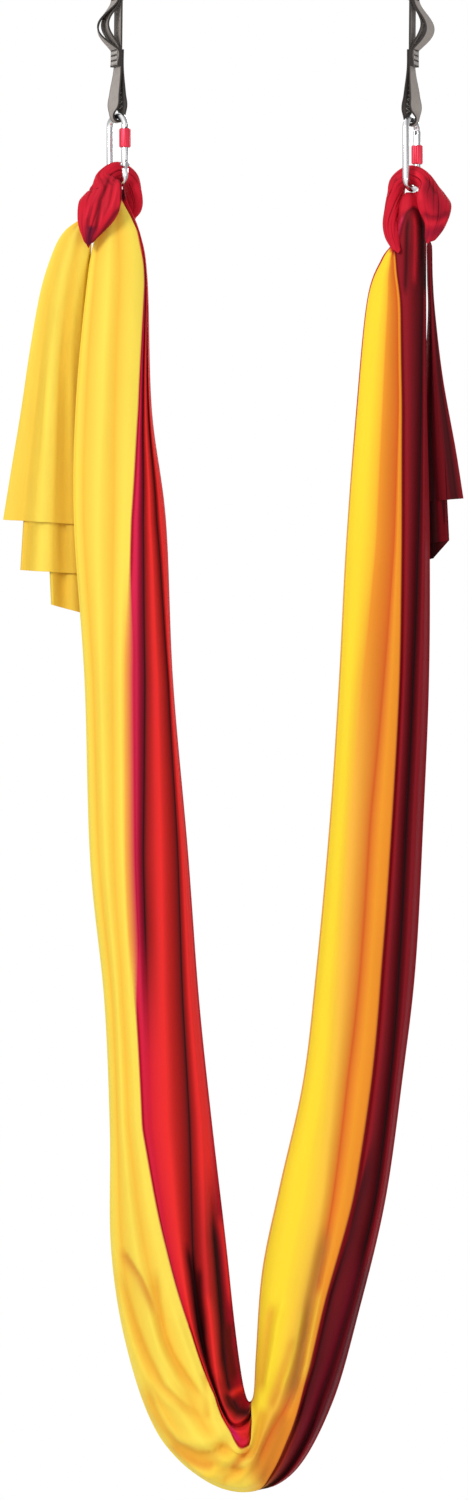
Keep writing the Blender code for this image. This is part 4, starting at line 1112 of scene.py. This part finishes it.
# Its colour attribute holds the dyes with painted shade in the folds, grooves and holes and painted
# highlights on some ridges.
dye = tricot.node("ShaderNodeAttribute", {"attribute_name": "dye"})
mottle = tricot.grain(9.0, 3.0)
WALE = 0.0013
COURSE = 0.0010
knit_u, knit_v = tricot.flat_cloth()
wales = (knit_u * (FULL_TURN / WALE)).sine()
courses = (knit_v * (FULL_TURN / COURSE)).sine()
tricot.set(
    Base_Color=tricot.node(
        "ShaderNodeMix", {"data_type": "RGBA", "blend_type": "MULTIPLY"}, output=2,
        i0=0.14, i6=dye, i7=mottle,
    ),
    Roughness=mottle * 0.12 + 0.52,
)
tricot.bump(wales * courses, 0.25, 0.0002)
dress(sling, "hammock", "sling", "sling_cloth", tricot)

# Knots: the same cloth, crimson here, bunched tight where it passes through each carabiner, over
# the basket bar, and falls on both sides of the neck.
SHOULDER = (0.01925, 0.0098, 0.0145, 0.0128)  # out from the bar, rise, half the width and the depth
OVER = (0.01955, 0.0120, 0.0140)  # rise, half the width and the depth
PLUM = srgb(66, 8, 40)
# Each row is the middle's place from the bar, its turn in degrees, and half the width and the depth.
KNOTS = (
    {
        "name": "left", "turn": math.radians(-63), "bar": LEFT_BAR, "layers": 112,
        "front": [
            (-0.0192, -0.0128, 0.001, -50, 0.0256, 0.0112),
            (-0.0190, -0.0144, -0.0045, -42, 0.0282, 0.0108),
            (-0.0180, -0.0160, -0.010, -36, 0.0300, 0.0105),
            (-0.0255, -0.0240, -0.032, -18, 0.0320, 0.0100),
            (-0.0350, -0.0260, -0.058, -6, 0.0220, 0.0085),
            (-0.0400, -0.0260, -0.081, 0, 0.0080, 0.0055),
            (-0.0405, -0.0255, -0.091, 0, 0.0032, 0.0028),
        ],
        "back": [
            (0.021, 0.012, -0.010, -50, 0.018, 0.0100), (0.021, 0.015, -0.028, -30, 0.016, 0.0080),
            (0.0175, 0.017, -0.042, -20, 0.0105, 0.0056), (0.0185, 0.0175, -0.054, -14, 0.0052, 0.0036),
        ],
        # These folds' colours are painted shade in the valleys and the hole, and painted highlights on
        # the ridges.
        "folds": (
            (-2.2, (2.5, 4), SHADE_WINE, 0.8, (
                (-217, 329), (-226, 352), (-234, 372), (-239, 406), (-243, 426))),
            (-1.8, (2, 3), SHADE_WINE, 0.7, ((-212, 335), (-219, 358), (-227, 378), (-231, 400))),
            (-1.8, (2, 3), SHADE_WINE, 0.7, (
                (-224, 335), (-236, 355), (-246, 378), (-251, 400), (-253, 420))),
            (2.0, (3, 3), srgb(232, 40, 64), 0.7, (
                (-229, 341), (-241, 364), (-250, 383), (-256, 403))),
            (2.0, (3, 3), srgb(230, 40, 60), 0.6, (
                (-216, 344), (-224, 369), (-231, 392), (-237, 415))),
            (1.5, (2, 2), srgb(232, 48, 66), 0.5, ((-209, 346), (-214, 369), (-220, 389))),
            (0, (7, 7), PLUM, 0.9, ((-247, 406), (-250, 423), (-251, 440))),
            (0, (3, 3), SHADE_WINE, 0.8, ((-204, 378), (-219, 400), (-236, 423), (-250, 440))),
            (-3.0, (3, 3), HOLE_SHADOW, 0.95, ((-203, 329), (-202, 346), (-202, 364), (-203, 378))),
            (-1.2, (2, 3), SHADE_WINE, 0.7, ((-192, 332), (-190, 349), (-189, 369), (-185, 386))),
        ),
    },
    {
        "name": "right", "turn": math.radians(69), "bar": RIGHT_BAR, "layers": 124,
        "front": [
            (0.0270, -0.0125, -0.008, 45, 0.0255, 0.0115), (0.0325, -0.0220, -0.028, 18, 0.0250, 0.0110),
            (0.0325, -0.0240, -0.052, 6, 0.0155, 0.0095), (0.0240, -0.0250, -0.076, 0, 0.0065, 0.0050),
            (0.0225, -0.0250, -0.0810, 0, 0.0040, 0.0034),
        ],
        "back": [
            (-0.022, 0.010, -0.008, 50, 0.015, 0.0105), (-0.026, 0.008, -0.030, 25, 0.013, 0.0095),
            (-0.0290, 0.0030, -0.050, 10, 0.0122, 0.0078), (-0.0276, -0.0060, -0.068, 0, 0.0105, 0.0055),
            (-0.0235, -0.0150, -0.083, 0, 0.0068, 0.0040), (-0.0200, -0.0172, -0.093, 0, 0.0040, 0.0026),
        ],
        # These folds' colours are painted shade in the valleys and the hole, and painted highlights on
        # the ridges.
        "folds": (
            (-1.0, (13, 12), srgb(122, 16, 36), 0.6, ((219, 344), (233, 361), (243, 381), (253, 406))),
            (-2.0, (3, 5), srgb(118, 10, 34), 0.7, ((219, 389), (233, 396), (247, 396), (261, 386))),
            (1.5, (5, 4), srgb(220, 34, 54), 0.6, ((219, 402), (233, 408), (248, 406), (261, 395))),
            (-1.0, (9, 9), srgb(110, 10, 44), 0.6, ((216, 423), (230, 420), (244, 416), (256, 409))),
            (2.0, (4, 4), srgb(234, 40, 60), 0.7, ((213, 324), (216, 341), (219, 361), (219, 378))),
            (-1.5, (2, 3), SHADE_WINE, 0.6, ((224, 335), (233, 349), (243, 366))),
            (-3.0, (4, 4), HOLE_SHADOW, 0.95, ((193, 346), (202, 355), (210, 356))),
            (-1.5, (2, 3), SHADE_WINE, 0.6, ((186, 335), (182, 358), (179, 375))),
            (1.5, (3, 3), srgb(232, 40, 62), 0.7, ((178, 349), (175, 375), (172, 400), (169, 420))),
        ),
    },
)
KNOT_STATIONS = 90
KNOT_FACE = 61
TIP_ROUND = 0.010
TIP_POINT = 0.006
# Each pleat's place across the face, its half width and its depth, as shares.
PLEATS = (
    (0.13, 0.030, 0.16), (0.27, 0.022, 0.22), (0.38, 0.026, 0.14), (0.52, 0.024, 0.24),
    (0.66, 0.028, 0.16), (0.79, 0.022, 0.20), (0.90, 0.026, 0.12),
)
LAYERS_DEEP = 0.62
LAYER_POINTS = 4
# The inner layers are painted darker than the face, as painted shade.
LAYER_LIT_TONE = 0.4


def knot_rows(knot):
    """Rows from the front tip over the basket bar to the back tip."""
    turn = knot["turn"]
    out, rise, wide, deep = SHOULDER
    sides = [
        (-math.sin(turn) * way * out, math.cos(turn) * way * out, rise, math.degrees(turn), wide, deep)
        for way in (-1, 1)
    ]
    over = (0.0, 0.0, OVER[0], math.degrees(turn), *OVER[1:])
    return knot["front"][::-1] + [sides[0], over, sides[1]] + knot["back"]


def pleats(along, face, number):
    """How deep the pleats cut into a knot's faces."""
    low = np.zeros((KNOT_STATIONS, KNOT_FACE))
    for k, (middle, wide, depth) in enumerate(PLEATS):
        sway = 0.035 * np.sin(FULL_TURN * (along * (0.9 + 0.2 * (k % 3)) + 0.31 * k + 0.2 * number))
        deep = depth * (0.55 + 0.45 * np.sin(5.1 * along * math.pi + 1.7 * k))
        low = low + deep * np.exp(-(((face - middle - sway) / wide) ** 2))
    return low


def knot_section(knot, number, along):
    """Places across a knot, levels from 1 in front to -1 behind, and how lit each point is painted,
    darker in the pleats and on the inner layers as painted shade, for every station: a pleated face,
    layers that zigzag from edge to edge, and the face behind."""
    face = np.linspace(0, 1, KNOT_FACE)[None, :]
    low = pleats(along, face, number)
    level = 1.0 - low * np.sin(np.pi * np.clip(along * 1.02, 0, 1)) ** 0.35
    lit_tone = 1 - np.clip(low * 2.6, 0, 1)
    face = np.tile(face, (KNOT_STATIONS, 1))
    columns = [(face, level, lit_tone)]
    for layer in range(knot["layers"] - 1):
        low, high = 0.05 + 0.02 * (layer % 3), 0.95 - 0.02 * ((layer + 1) % 3)
        ends = (low, high) if layer % 2 else (high, low)
        level_here = LAYERS_DEEP * (1 - 2 * layer / (knot["layers"] - 2))
        columns.append((
            np.tile(np.linspace(*ends, LAYER_POINTS), (KNOT_STATIONS, 1)),
            np.full((KNOT_STATIONS, LAYER_POINTS), level_here),
            np.full((KNOT_STATIONS, LAYER_POINTS), LAYER_LIT_TONE),
        ))
    columns.append((face, -level, lit_tone))
    return (np.concatenate(group, axis=1) for group in zip(*columns))


def knot_cloth(number, knot):
    """One knot, whose section runs along the line through its rows."""
    rows = knot_rows(knot)
    places, length = along_evenly(rows, lambda r: r[:, :3], KNOT_STATIONS)
    line = through(rows, places)
    ahead = np.gradient(line[:, :3], axis=0)
    ahead[0] = (0, 0, 1)
    ahead[-1] = (0, 0, -1)
    ahead = unit(ahead)
    angle = np.radians(line[:, 3])
    across = squared(np.stack([np.cos(angle), np.sin(angle), 0 * angle], axis=1), ahead)
    out = np.cross(across, ahead)
    along = np.linspace(0, 1, KNOT_STATIONS)[:, None]
    shares, levels, lit_tones = knot_section(knot, number, along)
    sideways = 2 * shares - 1
    line[:, 4:] *= np.sqrt(1 - (1 - np.clip(along * length / TIP_ROUND, 0.4, 1)) ** 2)
    tip = (1 - np.clip(np.minimum(along, 1 - along) * length / TIP_ROUND, 0, 1)) ** 2
    thick = line[:, 5:6] * np.sqrt(np.clip(1 - sideways**2, 0.0, 1))
    points = (
        (line[:, :3] + np.array(knot["bar"]))[:, None, :]
        + across[:, None, :] * (line[:, 4:5] * sideways)[:, :, None]
        + out[:, None, :] * (thick * levels)[:, :, None]
    )
    points[..., 2] += TIP_POINT * tip * sideways**2
    # The pleats are painted darker, towards wine, as painted shade.
    tint = SHADE_WINE + (CRIMSON - SHADE_WINE) * lit_tones[:, :, None]
    creased(points, tint, knot["folds"], slice(0, KNOT_FACE))
    name = f"{knot['name']}_knot"
    made = laid_cloth(f"{name}_cloth", points, tint)
    dress(made, "hammock", name, "crimson_cloth", tricot)


for number, knot in enumerate(KNOTS):
    knot_cloth(number, knot)

# Tails: the two ends of the cloth, folded in bands that hang from the knots. Their hems are cut
# straight and hang at steps, because the folds take up unlike lengths.
TAIL_STATIONS = 64
# Each row is the outer and inner x, the drop, the outer and inner y and the thickness. Each band is
# its first layer, how far in it starts, as a share, and its extra drop at the outer and the inner edge.
TAILS = (
    {
        "name": "left", "bar": LEFT_BAR, "top": -0.0523, "layers": 30, "points": 13,
        "slot": "yellow_cloth",
        "rows": [
            (-0.0570, -0.0350, 0.0000, -0.0105, -0.0105, 0.012),
            (-0.0750, -0.0370, 0.0140, -0.0100, -0.0095, 0.012),
            (-0.0900, -0.0372, 0.0398, -0.0075, 0.0000, 0.014),
            (-0.1085, -0.0430, 0.0966, -0.005, 0.014, 0.016),
            (-0.1241, -0.0470, 0.1818, -0.003, 0.029, 0.018),
            (-0.1369, -0.0445, 0.2670, -0.002, 0.042, 0.020),
            (-0.1511, -0.0375, 0.3522, -0.004, 0.051, 0.020),
            (-0.1620, -0.0320, 0.4190, -0.006, 0.055, 0.019),
        ],
        "bands": ((0, 0.0, 0.004, 0.010), (11, 0.187, 0.074, 0.080), (21, 0.516, 0.106, 0.140)),
        "dyes_and_shading": (srgb(255, 226, 90), srgb(252, 206, 72)),
    },
    {
        "name": "right", "bar": RIGHT_BAR, "top": -0.0826, "layers": 58, "points": 9,
        "slot": "dark_red_cloth",
        "rows": [
            (0.0265, 0.0215, -0.0045, -0.0255, -0.0245, 0.006),
            (0.0285, 0.0208, 0.003, -0.0255, -0.0225, 0.012),
            (0.0300, 0.0222, 0.045, -0.009, -0.002, 0.013),
            (0.034, 0.0235, 0.097, 0.000, 0.010, 0.014),
            (0.045, 0.018, 0.187, 0.004, 0.032, 0.015),
            (0.063, 0.008, 0.287, 0.004, 0.050, 0.016),
            (0.074, 0.006, 0.357, 0.004, 0.058, 0.015),
        ],
        "bands": ((0, 0.0, 0.0, 0.004), (27, 0.29, 0.056, 0.066), (40, 0.60, 0.074, 0.090)),
        "dyes_and_shading": (DARK_RED, SHADE_BLACK_RED),
    },
)


def tail_middles(rows):
    return np.stack([(rows[:, 0] + rows[:, 1]) / 2, rows[:, 2], (rows[:, 3] + rows[:, 4]) / 2], axis=1)


def tail_section(tail, along, fall):
    """Places across a tail, levels, drops, and how lit its layers are painted, as stripes of painted
    light and shade across them; the layers zigzag from edge to edge. Each band starts further in and
    hangs lower than the one before."""
    spread = along**0.7
    t = np.linspace(0, 1, tail["points"])
    columns = []
    for layer in range(tail["layers"]):
        _, inset, drop, far_drop = [band for band in tail["bands"] if layer >= band[0]][-1]
        start = inset * spread + 0.012 * (layer % 3) * spread
        end = 1.0 - 0.03 * ((layer + 1) % 3) * spread
        ahead = t[::-1] if layer % 2 else t
        share = start[:, None] + (end - start)[:, None] * ahead[None, :]
        columns.append((
            share,
            np.full(share.shape, 1 - 2 * layer / (tail["layers"] - 1)),
            fall[:, None] * (drop + (far_drop - drop) * share),
            0.5 + 0.5 * np.cos(FULL_TURN * (2.2 * share + 0.1)),
        ))
    return (np.concatenate(group, axis=1) for group in zip(*columns))


def tail_cloth(tail):
    """One tail, whose section runs down the line through its rows."""
    places, length = along_evenly(tail["rows"], tail_middles, TAIL_STATIONS)
    line = through(tail["rows"], places)
    along = np.linspace(0, 1, TAIL_STATIONS)
    fall = np.clip((along - 0.25) / 0.75, 0, 1) ** 1.5
    shares, levels, drops, lit_tones = tail_section(tail, along, fall)
    x = line[:, 0:1] + (line[:, 1:2] - line[:, 0:1]) * shares
    y = line[:, 3:4] + (line[:, 4:5] - line[:, 3:4]) * shares**1.3
    y = y - 0.45 * line[:, 5:6] * levels * (1 - 0.65 * np.abs(2 * shares - 1) ** 3)
    ripple = np.sin(3.5 * FULL_TURN * shares) * np.minimum(1, fall * 3 + 0.2)[:, None]
    y = y + 0.22 * line[:, 5:6] * ripple
    z = tail["top"] - line[:, 2:3] - drops
    points = np.stack([x, y, z], axis=2) + np.array(tail["bar"])
    # The first dye is the cloth as lit and the other a darker copy of it, in painted shade: they make
    # stripes of painted light and shade across the layers.
    first, shaded_dye = tail["dyes_and_shading"]
    name = f"{tail['name']}_tail"
    made = laid_cloth(f"{name}_cloth", points, shaded_dye + (first - shaded_dye) * lit_tones[:, :, None])
    dress(made, name, name, tail["slot"], tricot)


for tail in TAILS:
    tail_cloth(tail)
